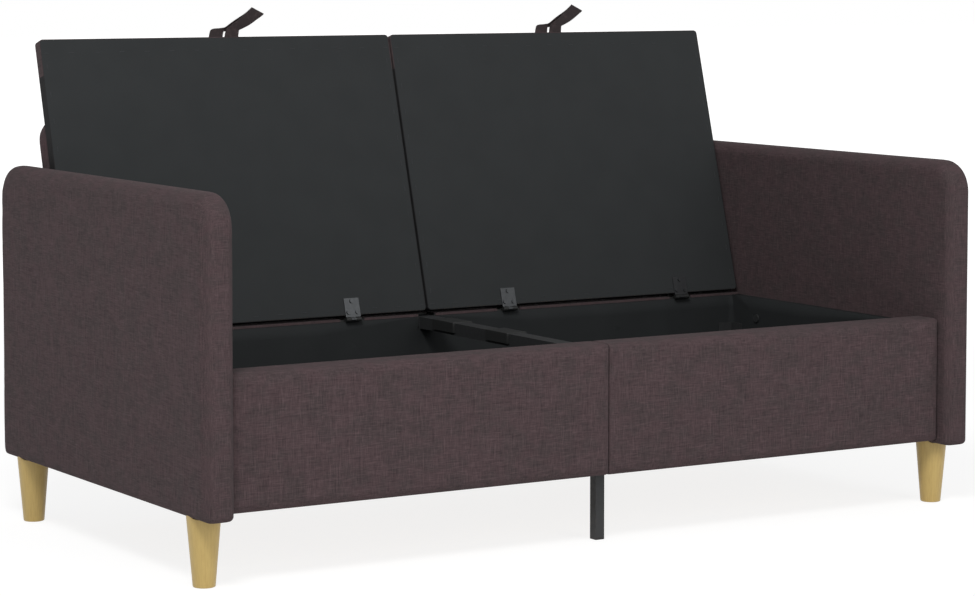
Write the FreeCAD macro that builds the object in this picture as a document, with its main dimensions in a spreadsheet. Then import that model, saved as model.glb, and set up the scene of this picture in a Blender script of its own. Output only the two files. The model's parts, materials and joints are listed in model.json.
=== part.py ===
import FreeCAD, Part
import math
import os
import re

# Storage sofa frame with two lift-up seat lids, in millimetres.
# X runs across the sofa to the sitter's left, Y runs from the front to the back and Z points up.
# The origin lies on the floor, midway between the arms and between the front and back edges.
# At rest both lids are open and lean back on the backrest.

DOC = FreeCAD.newDocument("StorageSofa")
X_AXIS = FreeCAD.Vector(1, 0, 0)
Y_AXIS = FreeCAD.Vector(0, 1, 0)
Z_AXIS = FreeCAD.Vector(0, 0, 1)

# Driving sizes

SIZES = (
    ("overall_width", 1400, "over both arms"),
    ("overall_depth", 750, "front to back of an arm"),
    ("arm_top", 572, "floor to the top of an arm"),
    ("arm_thickness", 47, "one arm across"),
    ("arm_corner_radius", 52, "upper corners of an arm, seen from the side"),
    ("arm_foot_radius", 22, "lower corners of an arm, seen from the side"),
    ("arm_edge_radius", 17, "soft edges all round an arm"),
    ("arm_padding", 8, "foam on each side of an arm board"),
    ("cover", 1.5, "woven fabric with its backing"),
    ("leg_height", 101, "floor to the underside of an arm"),
    ("leg_top_radius", 25.5, "wooden leg at the arm"),
    ("leg_foot_radius", 16.5, "wooden leg at the floor"),
    ("leg_foot_round", 3, "rounded foot edge of a leg"),
    ("leg_side_inset", 26, "leg axis from the outer face of the arm"),
    ("leg_end_inset", 67, "leg axis from the front or back of the arm"),
    ("leg_bolt_radius", 4, "hanger bolt"),
    ("leg_bolt_in_leg", 38, "hanger bolt length in the leg"),
    ("leg_bolt_in_board", 24, "hanger bolt length in the arm board"),
    ("insert_radius", 5.5, "barrel of a threaded insert"),
    ("insert_length", 14, "barrel of a threaded insert"),
    ("insert_flange_radius", 11, "flange of a threaded insert"),
    ("insert_flange", 1.5, "flange thickness"),
    ("rail_inset", 25, "front rail behind the fronts of the arms"),
    ("rail_thickness", 56, "front rail from front to back"),
    ("rail_bottom", 108, "floor to the underside of the rails"),
    ("rail_top", 312, "floor to the top of the front rail"),
    ("rail_gap", 1.5, "rail end to arm"),
    ("rail_seam", 1, "gap between the halves of the front rail"),
    ("rail_round", 8, "soft edges of the front rail"),
    ("rail_padding", 12, "foam on the front of the front rail"),
    ("joiner_length", 120, "plywood joiner across the seam"),
    ("joiner_height", 110, "plywood joiner"),
    ("joiner_thickness", 18, "plywood joiner"),
    ("joiner_lift", 7, "plywood joiner above the middle between the rail bottom and the hanger"),
    ("bearer_top", 302, "floor to the tops of bearers and saddle pads"),
    ("bearer_size", 20, "square front bearer"),
    ("side_panel", 15, "side panel thickness"),
    ("side_panel_drop", 1.8, "side panel below the bearers"),
    ("rear_rise", 1.4, "rear board above the bearers"),
    ("rear_fabric", 1.2, "fabric on the rear rail"),
    ("rear_lip", 4, "fabric turned over the front edge of the rear rail"),
    ("rear_edge_round", 3, "back edges of the rear rail"),
    ("lining", 0.8, "non-woven storage lining"),
    ("cleat_width", 20, "floor cleat"),
    ("cleat_height", 12, "floor cleat"),
    ("floor_panel", 6, "floor panel thickness"),
    ("panel_gap", 1, "gap between the floor panels"),
    ("corner_leg", 30, "corner bracket leg"),
    ("corner_wall", 2.5, "corner bracket steel"),
    ("corner_low", 25, "corner bracket above the lining"),
    ("corner_height", 100, "corner bracket height"),
    ("corner_gap", 30.2, "corner bracket below the front bearers"),
    ("beam_width", 28, "centre beam across"),
    ("beam_height", 20, "centre beam"),
    ("beam_wall", 1.5, "centre beam steel"),
    ("beam_seat", 26, "beam end carried by a hanger"),
    ("beam_play", 0.3, "beam to hanger"),
    ("hanger_wall", 1.5, "beam hanger steel"),
    ("hanger_flange", 30, "half width of the front hanger's flange"),
    ("saddle_width", 38, "saddle pad across"),
    ("saddle_length", 67, "saddle pad along the beam"),
    ("saddle_drop", 17, "saddle pad height"),
    ("saddle_roof", 1.6, "saddle pad above the beam"),
    ("saddle_round", 1, "saddle pad edges"),
    ("rear_saddle_setback", 83, "rear saddle pad's middle from the rear rail"),
    ("saddle_spacing", 169, "between the saddle pads"),
    ("centre_leg_size", 16, "square centre leg"),
    ("centre_leg_wall", 1.5, "centre leg steel"),
    ("centre_leg_shift", 11.5, "centre leg beside the seam of the rail"),
    ("centre_leg_setback", 5, "centre leg's axis ahead of the rail's back face"),
    ("leg_plate_size", 50, "plate of the centre leg"),
    ("leg_plate", 2.5, "plate thickness"),
    ("foot_height", 4, "plastic foot below the centre leg"),
    ("foot_plug", 20, "plastic foot inside the centre leg"),
    ("lid_length", 480, "seat lid from hinge edge to front edge"),
    ("lid_thickness", 22, "seat lid"),
    ("lid_board", 15, "plywood in a lid"),
    ("lid_skin", 1, "fabric and deck skin round a lid"),
    ("lid_lining", 1, "underside lining of a lid"),
    ("lid_corner", 6, "lid corners seen from above"),
    ("lid_round", 5, "upper edges of a lid"),
    ("lid_side_gap", 7, "lid to arm"),
    ("lid_centre_gap", 4, "between the lids"),
    ("lid_front_gap", 6, "closed lid to the front rail"),
    ("lid_band", 60, "fabric band along the front of a lid"),
    ("open_lean", 15.7, "lean of the open lids and of the backrest, in degrees"),
    ("hinge_setback", 7.5, "hinge axis to the back edge of a lid"),
    ("hinge_spacing", 360, "between the hinges of a lid"),
    ("right_hinge_shift", 19, "right lid's hinges towards the arm"),
    ("hinge_width", 28, "hinge leaf across"),
    ("leaf_thickness", 1.4, "hinge leaf steel"),
    ("lid_leaf_length", 36, "axis to the end of a lid leaf"),
    ("rail_leaf_length", 26, "axis to the end of a rail leaf"),
    ("knuckle_radius", 3.5, "hinge knuckle"),
    ("knuckle_width", 9, "middle knuckle, on the lid leaf"),
    ("knuckle_gap", 0.3, "between knuckles"),
    ("pin_radius", 2, "hinge pin"),
    ("pin_play", 0.05, "running fit round the pin"),
    ("hinge_clearance", 1, "knuckle to the rear rail"),
    ("recess_width", 46, "fabric cut away at a hinge"),
    ("screw_radius", 1.75, "pan head and countersunk screws"),
    ("screw_length", 14, "under the head"),
    ("screw_head_radius", 3.6, "pan head"),
    ("screw_head", 2, "pan head height"),
    ("back_thickness", 30, "backrest slab"),
    ("back_padding", 6, "foam on each side of the backrest board"),
    ("back_top", 652, "floor to the top of the backrest"),
    ("back_gap", 5, "backrest to arm"),
    ("back_clearance", 0.5, "backrest to open lid and to rear rail"),
    ("back_corner", 40, "upper corners of the backrest"),
    ("back_foot_corner", 14, "lower corners of the backrest"),
    ("back_round", 11, "soft edges of the backrest"),
    ("bracket_width", 40, "backrest bracket"),
    ("bracket_steel", 4, "backrest bracket"),
    ("bracket_leg", 110, "each leg of a backrest bracket"),
    ("bracket_spacing", 430, "between the backrest brackets"),
    ("bolt_radius", 3, "frame bolt"),
    ("bolt_length", 44, "frame bolt under its head"),
    ("bolt_head_radius", 7, "frame bolt"),
    ("bolt_head", 3, "frame bolt"),
    ("strap_width", 24, "pull strap"),
    ("strap_thickness", 2.2, "pull strap"),
    ("strap_leg", 14, "half the distance between the legs of a pull strap"),
    ("strap_depth", 15, "front strand of a strap behind the hinge plane"),
    ("strap_gap", 12.2, "between the strands' middles"),
    ("strap_shift_left", 15.5, "left strap from the middle of its lid"),
    ("strap_shift_right", 10, "right strap from the middle of its lid"),
)

# Places worked out from the driving sizes

PLACES = (
    ("half_width", "overall_width / 2"),
    ("half_depth", "overall_depth / 2"),
    ("half_seat", "half_width - arm_thickness"),
    ("leg_x", "half_width - leg_side_inset"),
    ("leg_y", "half_depth - leg_end_inset"),
    ("rail_front", "-half_depth + rail_inset"),
    ("rail_back", "rail_front + rail_thickness"),
    ("rail_end", "half_seat - rail_gap"),
    ("well_side", "half_seat - side_panel"),
    ("lid_front", "rail_back + lid_front_gap"),
    ("axis_y", "lid_front + lid_length + hinge_setback"),
    ("rear_front", "axis_y + knuckle_radius + hinge_clearance"),
    ("rear_board_front", "rear_front + rear_fabric"),
    ("rear_board_top", "bearer_top + rear_rise"),
    ("rear_top", "rear_board_top + rear_fabric"),
    ("axis_z", "rear_board_top + leaf_thickness / 2"),
    ("open_angle", "90 - open_lean"),
    ("lid_inner", "lid_centre_gap / 2"),
    ("lid_outer", "half_seat - lid_side_gap"),
    ("lid_middle", "(lid_inner + lid_outer) / 2"),
    ("lid_under", "-leaf_thickness / 2"),
    ("lid_over", "lid_under - lid_thickness"),
    ("lid_end", "hinge_setback + lid_length"),
    ("band_start", "lid_end - lid_band"),
    ("board_under", "lid_under - lid_lining"),
    ("board_over", "board_under - lid_board"),
    ("back_face", "back_clearance - lid_over"),
    ("back_rear", "back_face + back_thickness"),
    ("back_bend", "(rear_top - axis_z + back_rear * sin(open_lean)) / cos(open_lean)"),
    ("back_start", "back_bend + back_clearance / cos(open_lean)"),
    ("back_end", "(back_top - axis_z + back_face * sin(open_lean)) / cos(open_lean)"),
    ("rear_back", "axis_y + back_bend * sin(open_lean) + back_rear * cos(open_lean)"),
    ("beam_top", "bearer_top - saddle_roof"),
    ("beam_bottom", "beam_top - beam_height"),
    ("hanger_half", "beam_width / 2 + beam_play + hanger_wall"),
    ("hanger_bottom", "beam_bottom - hanger_wall"),
    ("beam_front_end", "rail_back + hanger_wall + beam_play"),
    ("beam_rear_end", "rear_front + beam_seat - beam_play"),
    ("floor_low", "rail_bottom + cleat_height"),
    ("floor_high", "floor_low + floor_panel"),
    ("corner_room", "bearer_top - bearer_size - floor_high - lining - corner_height"),
    ("corner_bottom", "floor_high + lining + corner_room * corner_low / (corner_low + corner_gap)"),
    ("corner_top", "corner_bottom + corner_height"),
    ("hanger_row", "(beam_top + bearer_top - bearer_size) / 2"),
    ("joiner_middle", "(rail_bottom + hanger_row) / 2 + joiner_lift"),
    ("side_top", "bearer_top - side_panel_drop"),
    ("lining_top", "rear_top - rear_lip"),
    ("centre_leg_y", "rail_back - centre_leg_setback"),
    ("plate_low", "rail_bottom - leg_plate"),
)

SHEET = DOC.addObject("Spreadsheet::Sheet", "Sizes")
for row, (alias, value, meaning) in enumerate(SIZES, start=1):
    SHEET.set("A%d" % row, str(value))
    SHEET.setAlias("A%d" % row, alias)
    SHEET.set("B%d" % row, meaning)
DOC.recompute()

OWNERS = {alias: "Sizes." for alias, value, meaning in SIZES}
OWNERS.update({name: "Places." for name, formula in PLACES})


def named(formula):
    """Write the owner before each size and place that a formula uses."""
    return re.sub(r"[a-z_]+", lambda word: OWNERS.get(word.group(), "") + word.group(), formula)


PLACE_SET = DOC.addObject("App::VarSet", "Places")
for name, formula in PLACES:
    PLACE_SET.addProperty("App::PropertyFloat", name, "Places")
    PLACE_SET.setExpression(name, named(formula))
DOC.recompute()


def size(alias):
    """Read one driving size."""
    return float(getattr(SHEET, alias))


def place(name):
    """Read one worked-out place."""
    return getattr(PLACE_SET, name)


SUB_PARTS = []


def sub_part(piece, label):
    """Name a finished sub-part, so that it is checked and written."""
    piece.Label = label
    SUB_PARTS.append(piece)
    return piece


# Building blocks

def bind(piece, formulas):
    """Tie properties of a piece to formulas."""
    for name, formula in formulas.items():
        piece.setExpression(name, named(formula))
    return piece


def move_to(piece, x, y, z):
    """Put the origin of a piece at a bound point."""
    return bind(piece, {"Placement.Base.x": x, "Placement.Base.y": y, "Placement.Base.z": z})


def fit(block, x, y, z):
    """Give a box its low and high limits along each axis."""
    bind(block, {
        "Length": "(%s) - (%s)" % (x[1], x[0]),
        "Width": "(%s) - (%s)" % (y[1], y[0]),
        "Height": "(%s) - (%s)" % (z[1], z[0]),
    })
    return move_to(block, x[0], y[0], z[0])


def box(name, x, y, z):
    """Make a plain box between bound limits."""
    return fit(DOC.addObject("Part::Box", name), x, y, z)


def cylinder(name, radius, height, x, y, z, turn=None):
    """Make a cylinder from a bound point, along Z or turned to another axis."""
    piece = bind(DOC.addObject("Part::Cylinder", name), {"Radius": radius, "Height": height})
    if turn:
        piece.Placement = FreeCAD.Placement(FreeCAD.Vector(), FreeCAD.Rotation(Z_AXIS, turn))
    return move_to(piece, x, y, z)


def cut(name, base, *tools):
    """Take tools away from a base piece."""
    piece = DOC.addObject("Part::Cut", name)
    piece.Base = base
    piece.Tool = tools[0] if len(tools) == 1 else fuse(name + "_tools", *tools)
    return piece


def common(name, base, tool):
    """Keep what two pieces share."""
    piece = DOC.addObject("Part::Common", name)
    piece.Base = base
    piece.Tool = tool
    return piece


def fuse(name, *pieces):
    """Join pieces into one."""
    piece = DOC.addObject("Part::MultiFuse", name)
    piece.Shapes = list(pieces)
    return piece


def group(name, *pieces):
    """Keep separate solids together as one sub-part."""
    piece = DOC.addObject("Part::Compound", name)
    piece.Links = list(pieces)
    return piece


def copy_at(master, name, x, y, z, turn=None):
    """Place one more of a master piece at a bound point."""
    link = DOC.addObject("App::Link", name)
    link.LinkedObject = master
    if turn:
        link.Placement = FreeCAD.Placement(FreeCAD.Vector(), turn)
    return move_to(link, x, y, z)


def on_hinge_line(piece):
    """Turn a piece from the flat lid frame to the lean of the open lids.

    In the lid frame Y runs from the hinge axis to the lid's front edge and Z leaves the underside.
    """
    piece.Placement = FreeCAD.Placement(FreeCAD.Vector(), FreeCAD.Rotation(X_AXIS, 1))
    bind(piece, {"Placement.Rotation.Angle": "open_angle"})
    return move_to(piece, "0", "axis_y", "axis_z")


def along(edge, direction):
    """Tell whether an edge is straight along a direction."""
    return edge.Curve.TypeId == "Part::GeomLine" and abs(edge.Curve.Direction.dot(direction)) > 0.999


def flat_in(edge, direction):
    """Tell whether an edge lies in a plane square to a direction."""
    bounds = edge.BoundBox
    spread = FreeCAD.Vector(bounds.XLength, bounds.YLength, bounds.ZLength)
    return spread.dot(direction) < 0.01


def middle_of(edge):
    """Give the middle of an edge's bounds."""
    return edge.BoundBox.Center


def rounded(name, x, y, z, *rounds):
    """Make a block whose edges are rounded in turn.

    Each round is a test that picks edges, given the edge and the block's middle, and a radius.
    """
    body = DOC.addObject("PartDesign::Body", name)
    feature = fit(body.newObject("PartDesign::AdditiveBox", name + "_block"), x, y, z)
    DOC.recompute()
    middle = feature.Shape.BoundBox.Center
    for number, (picks, radius) in enumerate(rounds, start=1):
        edges = enumerate(feature.Shape.Edges, start=1)
        chosen = ["Edge%d" % index for index, edge in edges if picks(edge, middle)]
        soft = body.newObject("PartDesign::Fillet", "%s_round_%d" % (name, number))
        soft.Base = (feature, chosen)
        bind(soft, {"Radius": radius})
        DOC.recompute()
        feature = soft
    return body


def every_edge(edge, middle):
    """Pick all edges."""
    return True


# Left and right

LEFT = ("left", "-")
RIGHT = ("right", "")
SIDES = (LEFT, RIGHT)


def across(side, inner, outer):
    """Give X limits from distances to the middle, mirrored on the left."""
    if side is LEFT:
        return ("-(%s)" % outer, "-(%s)" % inner)
    return (inner, outer)


def offset(side, distance):
    """Give an X place from its distance to the middle, mirrored on the left."""
    return "%s(%s)" % (side[1], distance)


# Screws and bolts

PAN_SCREW = fuse(
    "pan_screw",
    cylinder("pan_screw_shank", "screw_radius", "screw_length", "0", "0", "-screw_length"),
    cylinder("pan_screw_head", "screw_head_radius", "screw_head", "0", "0", "0"),
)
FLAT_SCREW = fuse(
    "flat_screw",
    cylinder("flat_screw_shank", "screw_radius", "screw_length", "0", "0", "-screw_length"),
    bind(DOC.addObject("Part::Cone", "flat_screw_head"), {
        "Radius1": "screw_radius",
        "Radius2": "screw_radius + leaf_thickness",
        "Height": "leaf_thickness",
        "Placement.Base.z": "-leaf_thickness",
    }),
)
FACING_BACK = FreeCAD.Rotation(X_AXIS, -90)
FACING_FRONT = FreeCAD.Rotation(X_AXIS, 90)
FACING_DOWN = FreeCAD.Rotation(X_AXIS, 180)
FACING_LEFT = FreeCAD.Rotation(Y_AXIS, -90)
FACING_RIGHT = FreeCAD.Rotation(Y_AXIS, 90)


def inward(side):
    """Give the turn that faces a screw or bolt head from a side towards the middle."""
    return FACING_RIGHT if side is LEFT else FACING_LEFT


BOLT = fuse(
    "bolt",
    cylinder("bolt_shank", "bolt_radius", "bolt_length", "0", "0", "-bolt_length"),
    cylinder("bolt_head_disc", "bolt_head_radius", "bolt_head", "0", "0", "0"),
)
FRAME_BOLTS = group("frame_bolts", *[
    copy_at(BOLT, "bolt_%s_%s_%s" % (side[0], end, row),
            offset(side, "well_side - lining"), y, z, inward(side))
    for side in SIDES
    for end, y in (("front", "rail_back + 75"), ("rear", "rear_front - 75"))
    for row, z in (("low", "floor_high + 30"), ("high", "side_top - 35"))
])
sub_part(FRAME_BOLTS, "frame_bolts")


# Legs and their fixings

LEG_PLACES = [
    (side, end, offset(side, "leg_x"), y)
    for side in SIDES
    for end, y in (("front", "-leg_y"), ("rear", "leg_y"))
]


def wooden_leg(side, end, x, y):
    """Turn one tapered leg with a bore for its hanger bolt."""
    name = "leg_%s_%s" % (end, side[0])
    body = DOC.addObject("PartDesign::Body", name)
    taper = bind(body.newObject("PartDesign::AdditiveCone", name + "_taper"), {
        "Radius1": "leg_foot_radius",
        "Radius2": "leg_top_radius",
        "Height": "leg_height",
    })
    DOC.recompute()
    rim = [
        "Edge%d" % index for index, edge in enumerate(taper.Shape.Edges, start=1)
        if edge.BoundBox.ZMax < 0.01
    ]
    soft = body.newObject("PartDesign::Fillet", name + "_foot")
    soft.Base = (taper, rim)
    bind(soft, {"Radius": "leg_foot_round"})
    DOC.recompute()
    solid = soft.Shape.Volume
    bore = bind(body.newObject("PartDesign::SubtractiveCylinder", name + "_bore"), {
        "Radius": "leg_bolt_radius",
        "Height": "leg_bolt_in_leg",
        "Placement.Base.z": "leg_height - leg_bolt_in_leg",
    })
    DOC.recompute()
    if bore.Shape.Volume >= solid:
        raise RuntimeError("%s has no bore" % name)
    return sub_part(move_to(body, x, y, "0"), name)


for leg in LEG_PLACES:
    wooden_leg(*leg)

LEG_BOLTS = group("leg_bolts", *[
    cylinder("leg_bolt_%s_%s" % (end, side[0]), "leg_bolt_radius",
             "leg_bolt_in_leg + cover + arm_padding + leg_bolt_in_board",
             x, y, "leg_height - leg_bolt_in_leg")
    for side, end, x, y in LEG_PLACES
])
sub_part(LEG_BOLTS, "leg_bolts")

BOARD_LOW = "leg_height + cover + arm_padding"
INSERT_BLANKS = group("insert_blanks", *[
    fuse("insert_%s_%s" % (end, side[0]),
         cylinder("insert_barrel_%s_%s" % (end, side[0]), "insert_radius", "insert_length",
                  x, y, BOARD_LOW),
         cylinder("insert_flange_%s_%s" % (end, side[0]), "insert_flange_radius",
                  "insert_flange", x, y, BOARD_LOW + " - insert_flange"))
    for side, end, x, y in LEG_PLACES
])
sub_part(cut("leg_inserts", INSERT_BLANKS, LEG_BOLTS), "leg_inserts")


# Arms

def arm_slab(name, side, inset):
    """Make the outline of an arm, drawn in all round by an inset."""
    def upper_corner(edge, middle):
        return along(edge, X_AXIS) and middle_of(edge).z > middle.z

    def lower_corner(edge, middle):
        return along(edge, X_AXIS) and middle_of(edge).z < middle.z and not on_top(edge, middle)

    def on_top(edge, middle):
        return middle_of(edge).z > middle.z

    def outline(edge, middle):
        return flat_in(edge, X_AXIS)

    x = across(side, "half_seat + " + inset, "half_width - (%s)" % inset)
    y = ("-half_depth + " + inset, "half_depth - (%s)" % inset)
    z = ("leg_height + " + inset, "arm_top - (%s)" % inset)
    return rounded(name, x, y, z,
                   (upper_corner, "arm_corner_radius - (%s)" % inset),
                   (lower_corner, "arm_foot_radius - (%s)" % inset),
                   (outline, "arm_edge_radius - (%s)" % inset))


def arm(side):
    """Make the board, padding and cover of one arm."""
    outer = arm_slab("arm_outer_" + side[0], side, "0")
    lined = arm_slab("arm_lined_" + side[0], side, "cover")
    core = arm_slab("arm_core_" + side[0], side, "cover + arm_padding")
    sub_part(cut("arm_cover_" + side[0], outer, lined, LEG_BOLTS, FRAME_BOLTS),
             "arm_cover_" + side[0])
    sub_part(cut("arm_pad_" + side[0], lined, core, LEG_BOLTS, INSERT_BLANKS, FRAME_BOLTS),
             "arm_pad_" + side[0])
    sub_part(cut("arm_board_" + side[0], core, LEG_BOLTS, INSERT_BLANKS, FRAME_BOLTS),
             "arm_board_" + side[0])


for side in SIDES:
    arm(side)


# Screws of the frame

BRACKET_PLACES = (("left", "-bracket_spacing"), ("centre", "0"), ("right", "bracket_spacing"))
CORNERS = [
    (side, end, side[0] + "_" + end) for side in SIDES for end in ("front", "rear")
]
SCREW_ROWS = (("low", "corner_bottom + 20"), ("high", "corner_top - 20"))
CORNER_SCREW_IN = "corner_wall + lining + 20"


def corner_screws(side, end, name):
    """Place the screws of one corner bracket, in the rail and in the side panel."""
    if end == "front":
        face, facing = "rail_back + lining + corner_wall", FACING_BACK
        beside = "rail_back + " + CORNER_SCREW_IN
    else:
        face, facing = "rear_board_front - lining - corner_wall", FACING_FRONT
        beside = "rear_board_front - (%s)" % CORNER_SCREW_IN
    screws = []
    for row, z in SCREW_ROWS:
        screws.append(copy_at(PAN_SCREW, "rail_screw_%s_%s" % (name, row),
                              offset(side, "well_side - (%s)" % CORNER_SCREW_IN), face, z, facing))
        screws.append(copy_at(PAN_SCREW, "panel_screw_%s_%s" % (name, row),
                              offset(side, "well_side - lining - corner_wall"), beside, z,
                              inward(side)))
    return screws


def bracket_screws(name, x):
    """Place the screws of one backrest bracket, in the rear rail and in the backrest."""
    lower = [
        copy_at(PAN_SCREW, "bracket_screw_%s_%s" % (name, row), x, "rear_back + bracket_steel",
                "rear_top - bracket_leg * %s" % share, FACING_BACK)
        for row, share in (("low", "0.8"), ("middle", "0.3"))
    ]
    lean = FreeCAD.Rotation(X_AXIS, -90 - size("open_lean"))
    upper = []
    for row, share in (("upper", "0.35"), ("top", "0.85")):
        reach = "(back_bend + bracket_leg * %s)" % share
        depth = "(back_rear + bracket_steel)"
        y = "axis_y + %s * sin(open_lean) + %s * cos(open_lean)" % (reach, depth)
        z = "axis_z + %s * cos(open_lean) - %s * sin(open_lean)" % (reach, depth)
        upper.append(copy_at(PAN_SCREW, "bracket_screw_%s_%s" % (name, row), x, y, z, lean))
    return lower + upper


def plate_screws():
    """Place the screws that hold the centre leg's plate under the rail."""
    inset = "(leg_plate_size / 2 - 8)"
    return [
        copy_at(PAN_SCREW, "plate_screw_%d" % number, "centre_leg_shift + %d * %s" % (right, inset),
                "centre_leg_y + %d * %s" % (back, inset), "plate_low", FACING_DOWN)
        for number, (right, back) in enumerate(((-1, -1), (1, -1), (-1, 1), (1, 1)), start=1)
    ]


def hanger_screws():
    """Place the screws of the front beam hanger."""
    return [
        copy_at(PAN_SCREW, "hanger_screw_%s" % side[0], offset(side, "(hanger_half + hanger_flange) / 2"),
                "rail_back + hanger_wall", "hanger_row", FACING_BACK)
        for side in SIDES
    ]


FRAME_SCREWS = group("frame_screws", *(
    [screw for corner in CORNERS for screw in corner_screws(*corner)]
    + [screw for bracket in BRACKET_PLACES for screw in bracket_screws(*bracket)]
    + plate_screws()
    + hanger_screws()
))
sub_part(FRAME_SCREWS, "frame_screws")


# Front rail

JOINER_Y = ("rail_back - cover - 28", "rail_back - cover - 28 + joiner_thickness")
JOINER_Z = ("joiner_middle - joiner_height / 2", "joiner_middle + joiner_height / 2")
JOINER = box("rail_joiner", ("-joiner_length / 2", "joiner_length / 2"), JOINER_Y, JOINER_Z)
sub_part(JOINER, "rail_joiner")


def rail_half(side):
    """Make the board, front padding and cover of one half of the front rail."""
    def block(name, inset):
        return rounded(name, across(side, "rail_seam / 2 + " + inset, "rail_end - " + inset),
                       ("rail_front + " + inset, "rail_back - " + inset),
                       ("rail_bottom + " + inset, "rail_top - " + inset),
                       (every_edge, "rail_round - " + inset))

    outer = block("rail_outer_" + side[0], "0")
    inner = block("rail_inner_" + side[0], "cover")
    timber = box("rail_timber_" + side[0], across(side, "0", "half_seat"),
                 ("rail_front + cover + rail_padding", "rail_back"), ("rail_bottom", "rail_top"))
    sub_part(cut("rail_cover_" + side[0], outer, inner, JOINER, FRAME_SCREWS),
             "rail_cover_" + side[0])
    sub_part(cut("rail_pad_" + side[0], inner, timber), "rail_pad_" + side[0])
    sub_part(cut("rail_board_" + side[0], common("rail_core_" + side[0], inner, timber),
                 JOINER, FRAME_SCREWS), "rail_board_" + side[0])


for side in SIDES:
    rail_half(side)


# Rear rail, with recesses for the hinges and a notch for the beam

HINGES = {
    "left": (("left_outer", "-lid_middle - hinge_spacing / 2"),
             ("left_inner", "-lid_middle + hinge_spacing / 2")),
    "right": (("right_inner", "lid_middle - hinge_spacing / 2 + right_hinge_shift"),
              ("right_outer", "lid_middle + hinge_spacing / 2 + right_hinge_shift")),
}
ALL_HINGES = HINGES["left"] + HINGES["right"]
RAIL_LEAF_SCREWS = group("hinge_screws_rail", *[
    copy_at(FLAT_SCREW, "leaf_screw_%s_%d" % (name, number), "(%s) + %d * hinge_width * 0.32" % (x, way),
            "axis_y + rail_leaf_length * 0.68", "axis_z + leaf_thickness / 2")
    for name, x in ALL_HINGES
    for number, way in enumerate((-1, 1), start=1)
])
sub_part(RAIL_LEAF_SCREWS, "hinge_screws_rail")


def rear_rail():
    """Make the timber and the fabric of the rear rail."""
    def rear_edge(edge, middle):
        return along(edge, X_AXIS) and middle_of(edge).y > middle.y

    wide = ("-rail_end", "rail_end")
    inside = ("-rail_end + rear_fabric", "rail_end - rear_fabric")
    blank = rounded("rear_blank", wide, ("rear_front", "rear_back"), ("rail_bottom", "rear_top"),
                    (rear_edge, "rear_edge_round"))
    timber = box("rear_timber", inside, ("rear_board_front", "rear_back - rear_fabric"),
                 ("rail_bottom + rear_fabric", "rear_board_top"))
    notch = box("beam_notch", ("-hanger_half", "hanger_half"),
                ("rear_front - rear_fabric", "rear_front + beam_seat"),
                ("hanger_bottom", "rear_top + rear_fabric"))
    window = box("rear_window", inside, ("rear_front - rear_fabric", "rear_board_front"),
                 ("rail_bottom - rear_fabric", "lining_top"))
    recesses = [
        box("recess_" + name, ("(%s) - recess_width / 2" % x, "(%s) + recess_width / 2" % x),
            ("rear_front - rear_fabric", "axis_y + rail_leaf_length + 2"),
            ("lining_top", "rear_top + rear_fabric"))
        for name, x in ALL_HINGES
    ]
    sub_part(cut("rear_cover", blank, timber, notch, window, FRAME_SCREWS, *recesses),
             "rear_cover")
    sub_part(cut("rear_board", timber, notch, FRAME_SCREWS, RAIL_LEAF_SCREWS), "rear_board")


rear_rail()


# Backrest slab, parallel to the open lids

def back_slab(name, inset):
    """Make the outline of the backrest in the lid frame, drawn in all round by an inset."""
    def upper_corner(edge, middle):
        return along(edge, Z_AXIS) and middle_of(edge).y > middle.y

    def lower_corner(edge, middle):
        return along(edge, Z_AXIS) and middle_of(edge).y < middle.y

    def outline(edge, middle):
        return flat_in(edge, Z_AXIS)

    reach = "half_seat - back_gap - (%s)" % inset
    return rounded(name, ("-(%s)" % reach, reach),
                   ("back_start + " + inset, "back_end - (%s)" % inset),
                   ("-back_rear + " + inset, "-back_face - (%s)" % inset),
                   (upper_corner, "back_corner - (%s)" % inset),
                   (lower_corner, "back_foot_corner - (%s)" % inset),
                   (outline, "back_round - (%s)" % inset))


def backrest():
    """Make the board, padding and cover of the backrest."""
    outer = on_hinge_line(back_slab("back_outer", "0"))
    lined = on_hinge_line(back_slab("back_lined", "cover"))
    core = on_hinge_line(back_slab("back_core", "cover + back_padding"))
    sub_part(cut("back_cover", outer, lined, FRAME_SCREWS), "back_cover")
    sub_part(cut("back_pad", lined, core, FRAME_SCREWS), "back_pad")
    sub_part(cut("back_board", core, FRAME_SCREWS), "back_board")


def back_bracket(name, x):
    """Bend one flat steel bracket from the rear rail to the backrest."""
    width = ("(%s) - bracket_width / 2" % x, "(%s) + bracket_width / 2" % x)
    lower = box("bracket_lower_" + name, width, ("rear_back", "rear_back + bracket_steel"),
                ("rear_top - bracket_leg", "rear_top"))
    upper = on_hinge_line(group("bracket_upper_" + name, box(
        "bracket_strip_" + name, width, ("back_bend", "back_bend + bracket_leg"),
        ("-back_rear - bracket_steel", "-back_rear"))))
    return fuse("bracket_" + name, lower, upper)


backrest()
sub_part(cut("back_brackets", group("bracket_blanks", *[back_bracket(*b) for b in BRACKET_PLACES]),
             FRAME_SCREWS), "back_brackets")


# Box of the seat

def side_panel(side):
    """Make one side panel, screwed to its arm."""
    blank = box("side_blank_" + side[0], across(side, "well_side", "half_seat"),
                ("rail_back", "rear_front"), ("rail_bottom", "side_top"))
    sub_part(cut("side_panel_" + side[0], blank, FRAME_SCREWS, FRAME_BOLTS), "side_panel_" + side[0])


def floor_panel(side):
    """Make one of the two panels that close the box below."""
    sub_part(box("floor_panel_" + side[0], across(side, "panel_gap / 2", "well_side"),
                 ("rail_back", "rear_board_front"), ("floor_low", "floor_high")),
             "floor_panel_" + side[0])


for side in SIDES:
    side_panel(side)
    floor_panel(side)

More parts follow.
